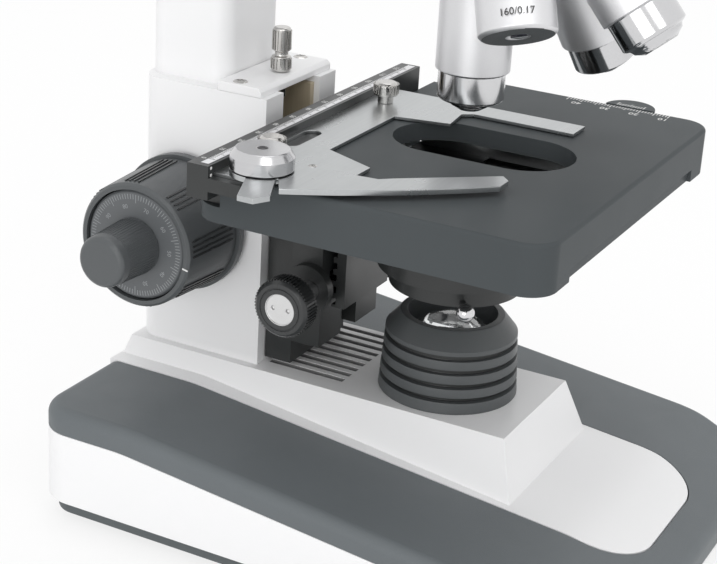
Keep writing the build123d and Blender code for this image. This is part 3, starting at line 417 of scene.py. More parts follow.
WHITE = Finish(
    "white_powder_enamel", "white_enamel", (0.85, 0.85, 0.855), (0.835, 0.835, 0.842), (0.33, 0.37),
    grain_scale=1900.0, bump=0.06,
)
# Dark grey for the walls and floors of the vent slots: painted shade, not the casting's own colour.
VENT_PAINTED_SHADE = Finish("vent_painted_shade", "white_enamel", (0.24, 0.24, 0.24), (0.28, 0.28, 0.28), (0.5, 0.6))
GREY = Finish(
    "grey_moulded_cover", "grey_enamel", (0.132, 0.147, 0.156), (0.120, 0.134, 0.142), (0.44, 0.52),
    grain_scale=2600.0, bump=0.35, specular=0.35,
)
FOOT = Finish(
    "grey_floor_plate", "foot_grey", (0.095, 0.108, 0.113), (0.085, 0.097, 0.102), (0.48, 0.6),
    grain_scale=2600.0, bump=0.35,
)
RUBBER = Finish(
    "soft_foot_rubber", "foot_rubber", (0.018, 0.018, 0.019), (0.03, 0.03, 0.03), (0.7, 0.85),
    grain_scale=1400.0, bump=0.4,
)
BLACK_PLASTIC = Finish(
    "black_moulded_plastic", "black_plastic", (0.030, 0.032, 0.033), (0.038, 0.040, 0.041), (0.24, 0.3),
    grain_scale=3000.0, bump=0.12,
)
DIAL_GREY = Finish(
    "dark_grey_dial", "black_plastic", (0.100, 0.108, 0.114), (0.115, 0.122, 0.128), (0.4, 0.48),
    grain_scale=3200.0, bump=0.25,
)
KNOB_GREY = Finish(
    "dark_grey_knob", "black_plastic", (0.074, 0.081, 0.085), (0.086, 0.092, 0.096), (0.32, 0.4),
    grain_scale=3200.0, bump=0.25,
)
BOARD = Finish("green_board", "board_green", (0.02, 0.14, 0.06), (0.03, 0.18, 0.08), (0.3, 0.42))
BLACK_METAL = Finish(
    "black_anodised", "black_metal", (0.022, 0.024, 0.024), (0.030, 0.032, 0.032), (0.3, 0.36),
    grain_scale=2200.0, bump=0.12,
)
LAMP_BLACK = Finish(
    "lamp_ribs", "black_metal", (0.072, 0.079, 0.082), (0.084, 0.090, 0.093), (0.38, 0.46),
    grain_scale=2600.0, bump=0.2,
)
STAGE = Finish(
    "stage_black_enamel", "stage_enamel", (0.066, 0.074, 0.078), (0.073, 0.081, 0.085), (0.28, 0.32),
    grain_scale=3600.0, specular=0.03,
)
BRONZE = Finish(
    "guide_bronze", "bronze", (0.62, 0.54, 0.40), (0.54, 0.46, 0.33), (0.34, 0.44),
    metallic=0.35, grain=Grain.BRUSHED, grain_scale=60.0, lie=(30.0, 30.0, 1.0),
)
STEEL = Finish(
    "brushed_steel", "steel", (0.51, 0.525, 0.53), (0.46, 0.475, 0.48), (0.27, 0.31),
    metallic=1.0, grain=Grain.BRUSHED, grain_scale=60.0, lie=(1.0, 40.0, 40.0), bump=0.02,
)
TURNED_STEEL = Finish(
    "turned_steel", "bright_chrome", (0.62, 0.62, 0.63), (0.54, 0.54, 0.55), (0.16, 0.22),
    metallic=1.0, grain=Grain.TURNED, grain_scale=2200.0, centre=tuple(at(-67.8, 32.0, 133.0)), bump=0.05,
)
NICKEL = Finish(
    "nickel_plate", "bright_chrome", (0.60, 0.59, 0.57), (0.53, 0.52, 0.505), (0.14, 0.22),
    metallic=1.0, grain_scale=1500.0, bump=0.02,
)
POLISHED = Finish(
    "polished_barrel", "bright_chrome", (0.66, 0.66, 0.67), (0.62, 0.62, 0.63), (0.10, 0.14),
    metallic=1.0, grain_scale=1500.0, bump=0.004,
)
CAP = Finish(
    "bright_cap", "satin_aluminium", (0.74, 0.74, 0.74), (0.68, 0.68, 0.68), (0.3, 0.38),
    metallic=1.0, grain_scale=2600.0, bump=0.06,
)
CHROME = Finish(
    "polished_chrome", "bright_chrome", (0.72, 0.72, 0.73), (0.66, 0.66, 0.67), (0.05, 0.12),
    metallic=1.0, grain_scale=1200.0, bump=0.01,
)
SATIN = Finish(
    "satin_metal", "satin_aluminium", (0.80, 0.80, 0.81), (0.75, 0.75, 0.765), (0.42, 0.48),
    metallic=1.0, grain_scale=2600.0, bump=0.02,
)
DARK_STEEL = Finish(
    "blackened_steel", "steel", (0.10, 0.10, 0.105), (0.14, 0.14, 0.145), (0.3, 0.42),
    metallic=1.0, grain_scale=1800.0, bump=0.06,
)
WHITE_INK = Finish(
    "white_ink", "white_enamel", (0.78, 0.78, 0.77), (0.70, 0.70, 0.69), (0.5, 0.6), grain_scale=4000.0,
)
GREY_INK = Finish(
    "grey_ink", "white_enamel", (0.34, 0.35, 0.36), (0.28, 0.29, 0.30), (0.5, 0.6), grain_scale=4000.0,
)
DARK_INK = Finish(
    "dark_ink", "black_plastic", (0.03, 0.03, 0.03), (0.05, 0.05, 0.05), (0.5, 0.6), grain_scale=4000.0,
)
LENS = Glass("ground_glass", "clear_glass", (0.97, 0.985, 0.99))
LAMP_LENS = Glass("coated_glass", "clear_glass", (0.97, 0.985, 0.99), 2.3)
DARK_GLASS = Finish(
    "coated_front_lens", "clear_glass", (0.02, 0.022, 0.03), (0.03, 0.03, 0.045), (0.03, 0.06),
    grain_scale=800.0, bump=0.01, coat=1.0,
)


# Meshes and pieces

WELD, TURNED_WELD = 2e-6, 1e-7
FLAT_DEGREES, SMOOTH_DEGREES, SOFTEN_DEGREES = 0.3, 32.0, 38.0
FONT_PER_HEIGHT, INK_MM = 1.4, 0.04
DEEP_KNURL = 0.3
LONG_EVERY = 5


def show(data: ID, name: str = "shape") -> Object:
    """New object at the origin.

    Args:
        data: mesh that is already in place, or a text.
        name: name of the object.

    Returns:
        The object.
    """
    piece = bpy.data.objects.new(name, data)
    bpy.context.scene.collection.objects.link(piece)
    return piece


def flattened(piece: Object, *spares: Object) -> Mesh:
    """Mesh with an object's modifiers applied; the object goes.

    Args:
        piece: object with live modifiers, or a text.
        spares: objects that its modifiers use, which go too.

    Returns:
        The finished mesh.
    """
    depsgraph = bpy.context.evaluated_depsgraph_get()
    mesh = bpy.data.meshes.new_from_object(piece.evaluated_get(depsgraph), depsgraph=depsgraph)
    for used in (piece, *spares):
        bpy.data.objects.remove(used)
    return mesh


def meshed(shell: bmesh.types.BMesh, spot: Optional[Matrix] = None) -> Mesh:
    """Mesh of an edited shape, which is freed.

    Args:
        shell: the edited shape.
        spot: where its own origin and axes go.

    Returns:
        The placed mesh.
    """
    mesh = bpy.data.meshes.new("shape")
    shell.to_mesh(mesh)
    shell.free()
    if spot:
        mesh.transform(spot)
    return mesh


def smoothed(mesh: Mesh) -> Mesh:
    """Shade a mesh smooth.

    Args:
        mesh: mesh to shade.

    Returns:
        The same mesh, with its steep edges sharp.
    """
    mesh.shade_smooth()
    mesh.set_sharp_from_angle(angle=math.radians(SMOOTH_DEGREES))
    return mesh


def flat_shaded(mesh: Mesh) -> Mesh:
    """Mesh whose large faces keep their own direction beside soft edges.

    Args:
        mesh: mesh with softened edges.

    Returns:
        The shaded mesh.
    """
    piece = show(smoothed(mesh))
    weighted = piece.modifiers.new("weighted", "WEIGHTED_NORMAL")
    weighted.mode = "FACE_AREA"
    weighted.weight = 100
    weighted.keep_sharp = True
    return flattened(piece)


def joined(meshes: Sequence[Mesh]) -> Mesh:
    """One mesh from several that share a material.

    Args:
        meshes: placed meshes, which go.

    Returns:
        The joined mesh.
    """
    whole = bmesh.new()
    for mesh in meshes:
        whole.from_mesh(mesh)
        bpy.data.meshes.remove(mesh)
    return meshed(whole)


def carve(piece: Object, shapes: Sequence[Mesh]) -> list[Object]:
    """Take closed shapes away from an object.

    Args:
        piece: object to carve.
        shapes: placed meshes of the shapes.

    Returns:
        Hidden objects of the shapes, to be removed with the piece.
    """
    cutters = []
    for shape in shapes:
        cutters.append(show(shape))
        cutters[-1].hide_render = True
        cut = piece.modifiers.new("cut", "BOOLEAN")
        cut.object = cutters[-1]
        cut.solver = "EXACT"
    return cutters


def fix(mesh: Mesh, name: str, body: str, finish: Coating, *nodes: str) -> None:
    """Show a mesh as a piece with its body and the nodes that it stands for.

    Args:
        mesh: finished mesh, already in place.
        name: name of the piece.
        body: CAD body that carries it.
        finish: finish whose material it wears when it has none yet.
        nodes: CAD nodes that it replaces.
    """
    mesh.name = name
    if not mesh.materials:
        mesh.materials.append(finish.material())
    piece = show(mesh, name)
    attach(piece, body)
    if nodes:
        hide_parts(*nodes)
    LOG.info("%s on %s, %d faces", piece.name, body, len(mesh.polygons))


def body_of(node: str) -> str:
    """Name of the CAD body that carries a node."""
    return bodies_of(frame["nodes"][node])[0]


def whole_copy(node: str) -> Mesh:
    """Copy of a CAD node's mesh with its triangles joined into clean faces.

    Args:
        node: name of the node.

    Returns:
        The copy, without the node's own normals.
    """
    shell = bmesh.new()
    shell.from_mesh(frame["nodes"][node].data)
    bmesh.ops.remove_doubles(shell, verts=shell.verts, dist=WELD)
    bmesh.ops.dissolve_limit(
        shell, angle_limit=math.radians(FLAT_DEGREES), verts=shell.verts, edges=shell.edges
    )
    mesh = meshed(shell)
    for spare in ("custom_normal", "sharp_edge", "sharp_face"):
        if spare in mesh.attributes:
            mesh.attributes.remove(mesh.attributes[spare])
    return mesh


Zone = Callable[[Vector], bool]


@dataclass(frozen=True)
class Coat:
    """What one CAD node wears; with an edge, a copy with softened edges wears it."""

    node: str
    finish: Coating
    edge: float = 0.0
    zones: tuple[tuple[Zone, Coating], ...] = ()

    def apply(self, shapes: Sequence[Mesh] = ()) -> None:
        """Dress the node or its copy.

        Args:
            shapes: closed shapes to take away from the copy.
        """
        if not self.edge:
            node = frame["nodes"][self.node]
            node.data.materials.clear()
            node.data.materials.append(self.finish.material())
            return
        piece = show(whole_copy(self.node))
        cutters = carve(piece, shapes)
        soften = piece.modifiers.new("soften", "BEVEL")
        soften.width = self.edge * MM
        soften.segments = 2
        soften.limit_method = "ANGLE"
        soften.angle_limit = math.radians(SOFTEN_DEGREES)
        soften.miter_outer = "MITER_ARC"
        mesh = flat_shaded(flattened(piece, *cutters))
        mesh.materials.clear()
        for finish in (self.finish, *(zone[1] for zone in self.zones)):
            mesh.materials.append(finish.material())
        for face in mesh.polygons:
            face.material_index = 0
            for number, (inside, _) in enumerate(self.zones, 1):
                if all(inside(mesh.vertices[corner].co) for corner in face.vertices):
                    face.material_index = number
        fix(mesh, f"{self.node}_look", body_of(self.node), self.finish, self.node)


def end_copies(
    g: Graph, points: NodeSocket, shape: NodeSocket, angle: NodeSocket, scale: Value = (1.0, 1.0, 1.0)
) -> NodeTree:
    """End a Geometry Nodes tree with real, painted copies of a shape on points.

    Args:
        g: graph of the tree, with an input named Material.
        points: where the copies go.
        shape: what is copied.
        angle: turn of each copy about Z, in radians.
        scale: size of each copy.

    Returns:
        The finished tree.
    """
    turn = g.first("FunctionNodeEulerToRotation", {0: g.first("ShaderNodeCombineXYZ", {"Z": angle})})
    copies = g.first(
        "GeometryNodeInstanceOnPoints",
        {"Points": points, "Instance": shape, "Rotation": turn, "Scale": scale},
    )
    real = g.first("GeometryNodeRealizeInstances", {0: copies})
    paint = g.add("NodeGroupInput").outputs["Material"]
    painted = g.first("GeometryNodeSetMaterial", {"Geometry": real, "Material": paint})
    g.add("NodeGroupOutput", {"Geometry": painted})
    return g.tree


def grown(holder: Object, tree: NodeTree, values: dict[str, object], *spares: Object) -> Mesh:
    """Mesh that a Geometry Nodes tree makes.

    Args:
        holder: object that the tree starts from, which goes.
        tree: the tree.
        values: its inputs by name.
        spares: objects among the values, which go too.

    Returns:
        The plain mesh.
    """
    modifier = holder.modifiers.new("grow", "NODES")
    modifier.node_group = tree
    for item in tree.interface.items_tree:
        if item.in_out == "INPUT" and item.name in values:
            modifier[item.identifier] = values[item.name]
    return flattened(holder, *spares)


class Repeat:
    """Geometry Nodes tree that repeats a small block along a line or round a ring."""

    takes: ClassVar[dict[str, str]] = {
        "Geometry": "Geometry", "Count": "Int", "Block": "Vector", "Radius": "Float", "Step": "Float",
        "Group": "Int", "Group Step": "Float", "Pitch": "Float", "Spin": "Float", "Every": "Int",
        "Longer": "Float", "Material": "Material",
    }
    never: ClassVar[int] = 1_000_000

    @staticmethod
    @cache
    def tree() -> NodeTree:
        """The tree, built at its first use.

        Returns:
            The node group.
        """
        g = new_group("repeat_block", "Geometry", Repeat.takes, {"Geometry": "Geometry"})
        source = g.add("NodeGroupInput").outputs
        index = g.first("GeometryNodeInputIndex")
        group = g.maths("FLOOR", g.maths("DIVIDE", index, source["Group"]))
        within = g.maths("MULTIPLY", g.maths("MODULO", index, source["Group"]), source["Step"])
        angle = g.maths("ADD", within, g.maths("MULTIPLY", group, source["Group Step"]))
        along = g.maths("MULTIPLY", index, source["Pitch"])
        x = g.maths("MULTIPLY", g.maths("COSINE", angle), source["Radius"])
        y = g.maths("MULTIPLY_ADD", g.maths("SINE", angle), source["Radius"], along)
        spot = g.first("ShaderNodeCombineXYZ", {"X": x, "Y": y})
        points = g.first("GeometryNodePoints", {"Count": source["Count"], "Position": spot})
        cube = g.first("GeometryNodeMeshCube", {"Size": source["Block"]})
        offset = g.vector("MULTIPLY", source["Block"], (0.5, 0.0, 0.0))
        block = g.first("GeometryNodeTransform", {"Geometry": cube, "Translation": offset})
        is_long = g.maths("LESS_THAN", g.maths("MODULO", index, source["Every"]), 0.5)
        length = g.maths("MULTIPLY_ADD", is_long, g.maths("SUBTRACT", source["Longer"], 1.0), 1.0)
        scale = g.first("ShaderNodeCombineXYZ", {"X": length, "Y": 1.0, "Z": 1.0})
        return end_copies(g, points, block, g.maths("ADD", angle, source["Spin"]), scale)

    @classmethod
    def mesh(
        cls, spot: Matrix, finish: Coating, count: int, block: Triple,
        radius: float = 0.0, pitch: float = 0.0, flare: float = 0.0, **others: object,
    ) -> Mesh:
        """Plain mesh of the repeated block.

        Args:
            spot: where its own origin and axes go.
            finish: finish of the blocks.
            count: number of blocks.
            block: millimetres along a block's own X, Y and Z.
            radius: radius of the ring in millimetres.
            pitch: millimetres from one block to the next along a line.
            flare: growth of the ring's radius for each millimetre along its axis.
            others: further inputs of the tree, with _ for a space and in radians.

        Returns:
            The placed mesh.
        """
        values: dict[str, object] = {
            "Count": count, "Block": [side * MM for side in block], "Radius": radius * MM,
            "Pitch": pitch * MM, "Group": cls.never, "Every": cls.never, "Longer": 1.0,
            "Material": finish.material(),
        }
        values.update({key.replace("_", " ").title(): value for key, value in others.items()})
        mesh = grown(show(bpy.data.meshes.new("shape")), cls.tree(), values)
        for vert in mesh.vertices:
            grow = 1.0 + flare * vert.co.z / MM
            vert.co.x, vert.co.y = vert.co.x * grow, vert.co.y * grow
        mesh.transform(spot)
        return mesh


def knurl(
    spot: Matrix, radius: float, length: float, count: int, finish: Coating, relief: float = 0.2
) -> Mesh:
    """Ring of straight ridges round a knob.

    Args:
        spot: middle of the ring, with its axis along Z.
        radius: radius of the knob in millimetres.
        length: length of the ridges in millimetres.
        count: number of ridges.
        finish: finish of the ridges.
        relief: how far they stand out, in millimetres.

    Returns:
        The placed mesh.
    """
    root, width = 0.35, 0.5 * math.tau * radius / count
    block = (root + relief, width, length)
    return Repeat.mesh(spot, finish, count, block, radius - root, step=math.tau / count)


def lathe(profile: Sequence[Pair], spot: Matrix, steps: int = 48) -> Mesh:
    """Turned shape from a profile that starts and ends on its axis or is closed.

    Args:
        profile: (radius, height) points in millimetres.
        spot: where its axis goes.
        steps: facets round the axis.

    Returns:
        The closed, placed mesh.
    """
    shell = bmesh.new()
    points = [shell.verts.new((r * MM, 0.0, z * MM)) for r, z in profile]
    edges = [shell.edges.new(pair) for pair in zip(points, points[1:])]
    bmesh.ops.spin(
        shell, geom=points + edges, axis=(0, 0, 1), cent=(0, 0, 0), steps=steps, angle=math.tau
    )
    bmesh.ops.remove_doubles(shell, verts=shell.verts, dist=TURNED_WELD)
    bmesh.ops.recalc_face_normals(shell, faces=shell.faces)
    return smoothed(meshed(shell, spot))


def slab(size: Triple, spot: Matrix, edge: float = 0.0) -> Mesh:
    """Thin block that stands on its placing point.

    Args:
        size: millimetres along its own X, Y and Z.
        spot: where the middle of its foot goes.
        edge: width of the softened edges in millimetres.

    Returns:
        The placed mesh.
    """
    shell = bmesh.new()
    bmesh.ops.create_cube(shell, size=1.0)
    for vert in shell.verts:
        vert.co = Vector([c * s * MM for c, s in zip(vert.co, size)])
        vert.co.z += size[2] * MM / 2
    if edge:
        bmesh.ops.bevel(
            shell, geom=shell.edges[:], offset=edge * MM, segments=2, profile=0.5, affect="EDGES"
        )
    return smoothed(meshed(shell, spot))


class Screws:
    """Geometry Nodes tree that sets a cross-head screw on every point of a mesh."""

    spread: ClassVar[float] = 0.7
    foot: ClassVar[float] = -0.4
    cross_floor: ClassVar[float] = -0.25

    @staticmethod
    @cache
    def tree() -> NodeTree:
        """The tree, built at its first use.

        Returns:
            The node group.
        """
        takes = {"Geometry": "Geometry", "Screw": "Object", "Turn": "Float", "Material": "Material"}
        g = new_group("set_screws", "Geometry", takes, {"Geometry": "Geometry"})
        source = g.add("NodeGroupInput").outputs
        screw = g.add("GeometryNodeObjectInfo", {"Object": source["Screw"]}).outputs["Geometry"]
        angle = g.maths("MULTIPLY", g.first("GeometryNodeInputIndex"), source["Turn"])
        return end_copies(g, source["Geometry"], screw, angle)

    @classmethod
    def head(cls, radius: float) -> Mesh:
        """Domed screw head with a cross cut into it.

        Args:
            radius: radius of the head in millimetres.

        Returns:
            The mesh of one head, standing on its origin.
        """
        rise, arm, width = 0.18 * radius, 1.15 * radius, 0.28 * radius
        dome = [(0.0, rise), (0.5 * radius, 0.9 * rise), (0.85 * radius, 0.55 * rise), (radius, 0.0)]
        disc = show(lathe(dome + [(radius, cls.foot), (0.0, cls.foot)], Matrix.Identity(4), 32))
        floor = Matrix.Translation((0.0, 0.0, cls.cross_floor * MM))
        bars = [slab((*size, 1.0), floor) for size in ((arm, width), (width, arm))]
        return smoothed(flattened(disc, *carve(disc, bars)))

    @classmethod
    def put(
        cls, name: str, body: str, spots: Sequence[Vector], radius: float, turn: Triple = (0.0, 0.0, 0.0)
    ) -> None:
        """Set screws that look the same way.

        Args:
            name: name of the piece.
            body: CAD body that carries them.
            spots: where their heads stand, in metres.
            radius: radius of a head in millimetres.
            turn: how the heads are turned from upright, in degrees.
        """
        back = place(Vector((0.0, 0.0, 0.0)), turn)
        points = bpy.data.meshes.new("shape")
        points.from_pydata([back.inverted() @ spot for spot in spots], [], [])
        screw = show(cls.head(radius))
        values = {"Screw": screw, "Turn": cls.spread, "Material": NICKEL.material()}
        mesh = grown(show(points), cls.tree(), values, screw)
        mesh.transform(back)
        fix(mesh, name, body, NICKEL)


def figures(words: Sequence[tuple[str, Matrix]], height: float) -> Mesh:
    """Plain figures as one thin mesh.

    Args:
        words: each figure with its placing matrix.
        height: size of the figures in millimetres.

    Returns:
        The joined mesh.
    """
    meshes = []
    for word, spot in words:
        curve = bpy.data.curves.new("figures", "FONT")
        curve.body = word
        curve.size = height * MM * FONT_PER_HEIGHT
        curve.align_x, curve.align_y = "CENTER", "CENTER"
        curve.resolution_u = 3
        curve.extrude = INK_MM * MM
        mesh = flattened(show(curve))
        mesh.transform(spot)
        meshes.append(mesh)
    return joined(meshes)


# Zones of a node that wear another finish, in metres where the name doesn't end in MM

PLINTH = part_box("lamp_housing")[0].z
VENTS_LOW, VENTS_HIGH = at(-17.8, 28.0, 0.0), at(22.8, 57.0, 0.0)
VENT_FLOOR_MM, VENT_EDGE_MM = -4.0, -0.1
GROOVE_FLOOR, GROOVE_LIP, GROOVE_TOP = 0.016, 0.0201, 0.0205
IRIS_RIM = 0.0212
CAP_BACK, CAP_RADIUS = -0.0405, 0.0052
CONDENSER_KNOB_MM = (39.2, 77.3)


def painted_vent_shade(spot: Vector) -> bool:
    """True on the walls and floors of the vent slots, which wear a dark grey as painted shade."""
    inside = VENTS_LOW.x < spot.x < VENTS_HIGH.x and VENTS_LOW.y < spot.y < VENTS_HIGH.y
    return inside and VENT_FLOOR_MM < (spot.z - PLINTH) / MM < VENT_EDGE_MM


def off_axis(spot: Vector) -> float:
    """Distance from the optical axis."""
    return (spot - at(0.0, 0.0, 0.0)).xy.length


def painted_groove_shade(spot: Vector) -> bool:
    """True on the floors of the lamp's grooves, which wear a darker black as painted shade."""
    return GROOVE_FLOOR < off_axis(spot) < GROOVE_LIP and spot.z < PLINTH + GROOVE_TOP


def on_lever(spot: Vector) -> bool:
    """True on the lever of the iris ring."""
    return off_axis(spot) > IRIS_RIM


def on_cap(spot: Vector) -> bool:
    """True on the bright cap of the condenser knob."""
    return spot.x < CAP_BACK and (spot - at(0.0, *CONDENSER_KNOB_MM)).yz.length < CAP_RADIUS


# Sub-assemblies


class Assembly:
    """Group of pieces that is dressed and detailed together, with sizes in millimetres."""

    coats: ClassVar[tuple[Coat, ...]] = ()

    def dress(self) -> None:
        """Give every CAD node of the group its finish."""
        for coat in self.coats:
            coat.apply(self.cutters(coat.node))

    def cutters(self, node: str) -> list[Mesh]:
        """Shapes to take away from one node's copy; none unless a group says so."""
        return []

    def build(self) -> None:
        """Add the pieces that the solids leave out."""


@dataclass
class Base(Assembly):
    """White shell with a grey cover, feet and controls."""

    floor_low: float = 3.0
    screw_x: float = 51.0
    screw_ends: Pair = (-40.0, 56.0)
    screw_radius: float = 3.0
    control_z: float = 20.0
    dimmer_face: float = 91.0
    dimmer_y: float = 50.0
    pointer: Triple = (5.0, 0.9, 0.12)
    pointer_rise: float = 4.6
    switch_x: float = -32.0
    switch_y: float = 106.86
    sign_rise: float = 2.2
    bar_sign: Triple = (0.5, 2.4, 0.12)

    coats: ClassVar[tuple[Coat, ...]] = (
        # The vent slots' walls and floors wear a dark grey as painted shade.
        Coat("base_casting", WHITE, 0.5, ((painted_vent_shade, VENT_PAINTED_SHADE),)),
        Coat("deck_cover", GREY, 0.4),
        Coat("bottom_plate", FOOT, 0.6),
        Coat("rubber_feet", RUBBER, 0.5),
        Coat("power_socket", BLACK_PLASTIC, 0.3),
        Coat("switch_bezel", BLACK_PLASTIC, 0.3),
        Coat("switch_rocker", BLACK_PLASTIC, 0.2),
        Coat("brightness_knob", BLACK_PLASTIC, 0.25),
        Coat("circuit_board", BOARD),
        Coat("lamp_board", BOARD),
    )

    def build(self) -> None:
        """Floor screws, the dimmer's pointer and the switch's on and off signs."""
        spots = [at(x, y, self.floor_low) for x in (-self.screw_x, self.screw_x) for y in self.screw_ends]
        Screws.put("floor_screws", "stand", spots, self.screw_radius, (180.0, 0.0, 0.0))
        spot = at(self.dimmer_face, self.dimmer_y, self.control_z + self.pointer_rise)
        fix(slab(self.pointer, place(spot, (0.0, 90.0, 0.0))), "dimmer_pointer", "brightness", WHITE_INK)
        up = place(at(self.switch_x, self.switch_y, self.control_z + self.sign_rise), (-94.0, 0.0, 0.0))
        down = place(at(self.switch_x, self.switch_y, self.control_z - self.sign_rise), (-86.0, 0.0, 0.0))
        ring = [(0.8, 0.0), (1.2, 0.0), (1.2, 0.12), (0.8, 0.12), (0.8, 0.0)]
        signs = [slab(self.bar_sign, up), lathe(ring, down, 32)]
        fix(joined(signs), "switch_signs", "mains_switch", WHITE_INK)


@dataclass
class Lamp(Assembly):
    """Ribbed lamp body with a domed lens."""

    bowl_top: float = 60.1
    bowl_radius: float = 12.2

    coats: ClassVar[tuple[Coat, ...]] = (
        # The floors of the grooves wear the darker black anodised finish as painted shade.
        Coat("lamp_housing", LAMP_BLACK, 0.25, ((painted_groove_shade, BLACK_METAL),)),
        Coat("collector_lens", LAMP_LENS),
    )

    def build(self) -> None:
        """Bright bowl under the lens."""
        edge, top = self.bowl_radius, self.bowl_top
        bowl = [
            (0.0, top - 2.6), (3.2, top - 2.5), (7.0, top - 1.8), (10.0, top - 0.8), (edge, top),
            (edge, top - 0.4), (10.0, top - 1.3), (7.0, top - 2.3), (3.2, top - 3.0), (0.0, top - 3.1),
        ]
        fix(lathe(bowl, place(at(0.0, 0.0, 0.0))), "lamp_bowl", "stand", CHROME)


@dataclass
class Stand(Assembly):
    """Arm, column and the guides of the focus slide."""

    plate_top: float = 138.7
    screw_x: float = 18.7
    screw_y: float = 69.5
    screw_radius: float = 2.4
    stop_head: Triple = (2.8, 6.2, -4.1)
    stop_nut: Triple = (3.1, 3.2, -11.7)
    stop_ridges: int = 18

    coats: ClassVar[tuple[Coat, ...]] = (
        Coat("arm_casting", WHITE, 0.4),
        Coat("focus_cover_plate", WHITE, 0.3),
        Coat("guide_strips", BRONZE, 0.2),
        Coat("focus_bushes", DARK_STEEL),
        Coat("stop_screw", NICKEL, 0.2),
    )

    def build(self) -> None:
        """Cover screws and the grips of the stop screw, each with its radius, length and level."""
        spots = [at(x, self.screw_y, self.plate_top) for x in (-self.screw_x, self.screw_x)]
        Screws.put("cover_screws", "stand", spots, self.screw_radius)
        grips = [
            knurl(place(on_top("stop_screw", level)), radius, length, self.stop_ridges, NICKEL, DEEP_KNURL)
            for radius, length, level in (self.stop_head, self.stop_nut)
        ]
        fix(joined(grips), "stop_grip", "focus_stop", NICKEL)


@dataclass
class FocusDrive(Assembly):
    """Coarse drums, graduated dials and fine knobs on both sides."""

    focus_y: float = 85.4
    focus_z: float = 91.1
    dial_x: float = 51.9
    dial_lines: int = 100
    dial_line: Triple = (1.6, 0.2, 0.06)
    line_radius: float = 16.4
    number_radius: float = 12.4
    number_height: float = 1.4
    drum_mid: float = 40.0
    drum_ridges: int = 32
    drum_groups: int = 8
    ridge_step: float = 4.6
    drum_ridge: Triple = (0.62, 0.5, 21.0)
    drum_radius: float = 20.4
    drum_flare: float = -0.00244
    flutes: int = 60
    flute_mid: float = 60.0
    flute: Triple = (0.4, 0.3, 13.0)
    flute_radius: float = 8.35
    flute_flare: float = -0.0058
    rim_x: float = 52.5
    index_line: Triple = (0.12, 2.0, 0.5)
    index_radius: float = 19.0
    index_angle: float = 12.0

    coats: ClassVar[tuple[Coat, ...]] = (
        Coat("coarse_tube", STEEL),
        Coat("coarse_knobs", KNOB_GREY, 0.3),
        Coat("fine_shaft", STEEL),
        Coat("fine_dials", DIAL_GREY, 0.2),
        Coat("fine_knobs", KNOB_GREY, 0.7),
    )

    def facing(self, side: float, x: float) -> Matrix:
        """Place on the focus axis that looks outward on one side."""
        return place(at(side * x, self.focus_y, self.focus_z), (0.0, 90.0 * side, 0.0))

    def build(self) -> None:
        """Dial lines and figures, the index line and the grips of the drums."""
        lines, numbers, ridges, flutes, marks = [], [], [], [], []
        lift = Matrix.Translation((0.0, self.number_radius * MM, 0.0))
        angle = math.radians(self.index_angle)
        for side in (-1.0, 1.0):
            face = self.facing(side, self.dial_x)
            lines.append(Repeat.mesh(
                face, GREY_INK, self.dial_lines, self.dial_line, self.line_radius,
                step=math.tau / self.dial_lines, every=10, longer=1.7, spin=math.pi,
            ))
            numbers += [
                (str(number * 10), face @ Matrix.Rotation(math.tau * number / 10, 4, "Z") @ lift)
                for number in range(10)
            ]
            ridges.append(Repeat.mesh(
                self.facing(side, self.drum_mid), BLACK_PLASTIC, self.drum_ridges, self.drum_ridge,
                self.drum_radius, flare=self.drum_flare, group=self.drum_ridges // self.drum_groups,
                group_step=math.tau / self.drum_groups, step=math.radians(self.ridge_step),
            ))
            flutes.append(Repeat.mesh(
                self.facing(side, self.flute_mid), KNOB_GREY, self.flutes, self.flute, self.flute_radius,
                flare=self.flute_flare, step=math.tau / self.flutes,
            ))
            back, down = self.index_radius * math.cos(angle), self.index_radius * math.sin(angle)
            spot = at(side * self.rim_x, self.focus_y - back, self.focus_z - down)
            marks.append(slab(self.index_line, place(spot, (self.index_angle, 0.0, 0.0))))
        fix(joined(lines), "dial_lines", "fine_focus", GREY_INK)
        fix(figures(numbers, self.number_height), "dial_numbers", "fine_focus", GREY_INK)
        fix(joined(ridges), "drum_ridges", "coarse_focus", BLACK_PLASTIC)
        fix(joined(flutes), "knob_flutes", "fine_focus", KNOB_GREY)
        fix(joined(marks), "index_lines", "coarse_focus", WHITE_INK)


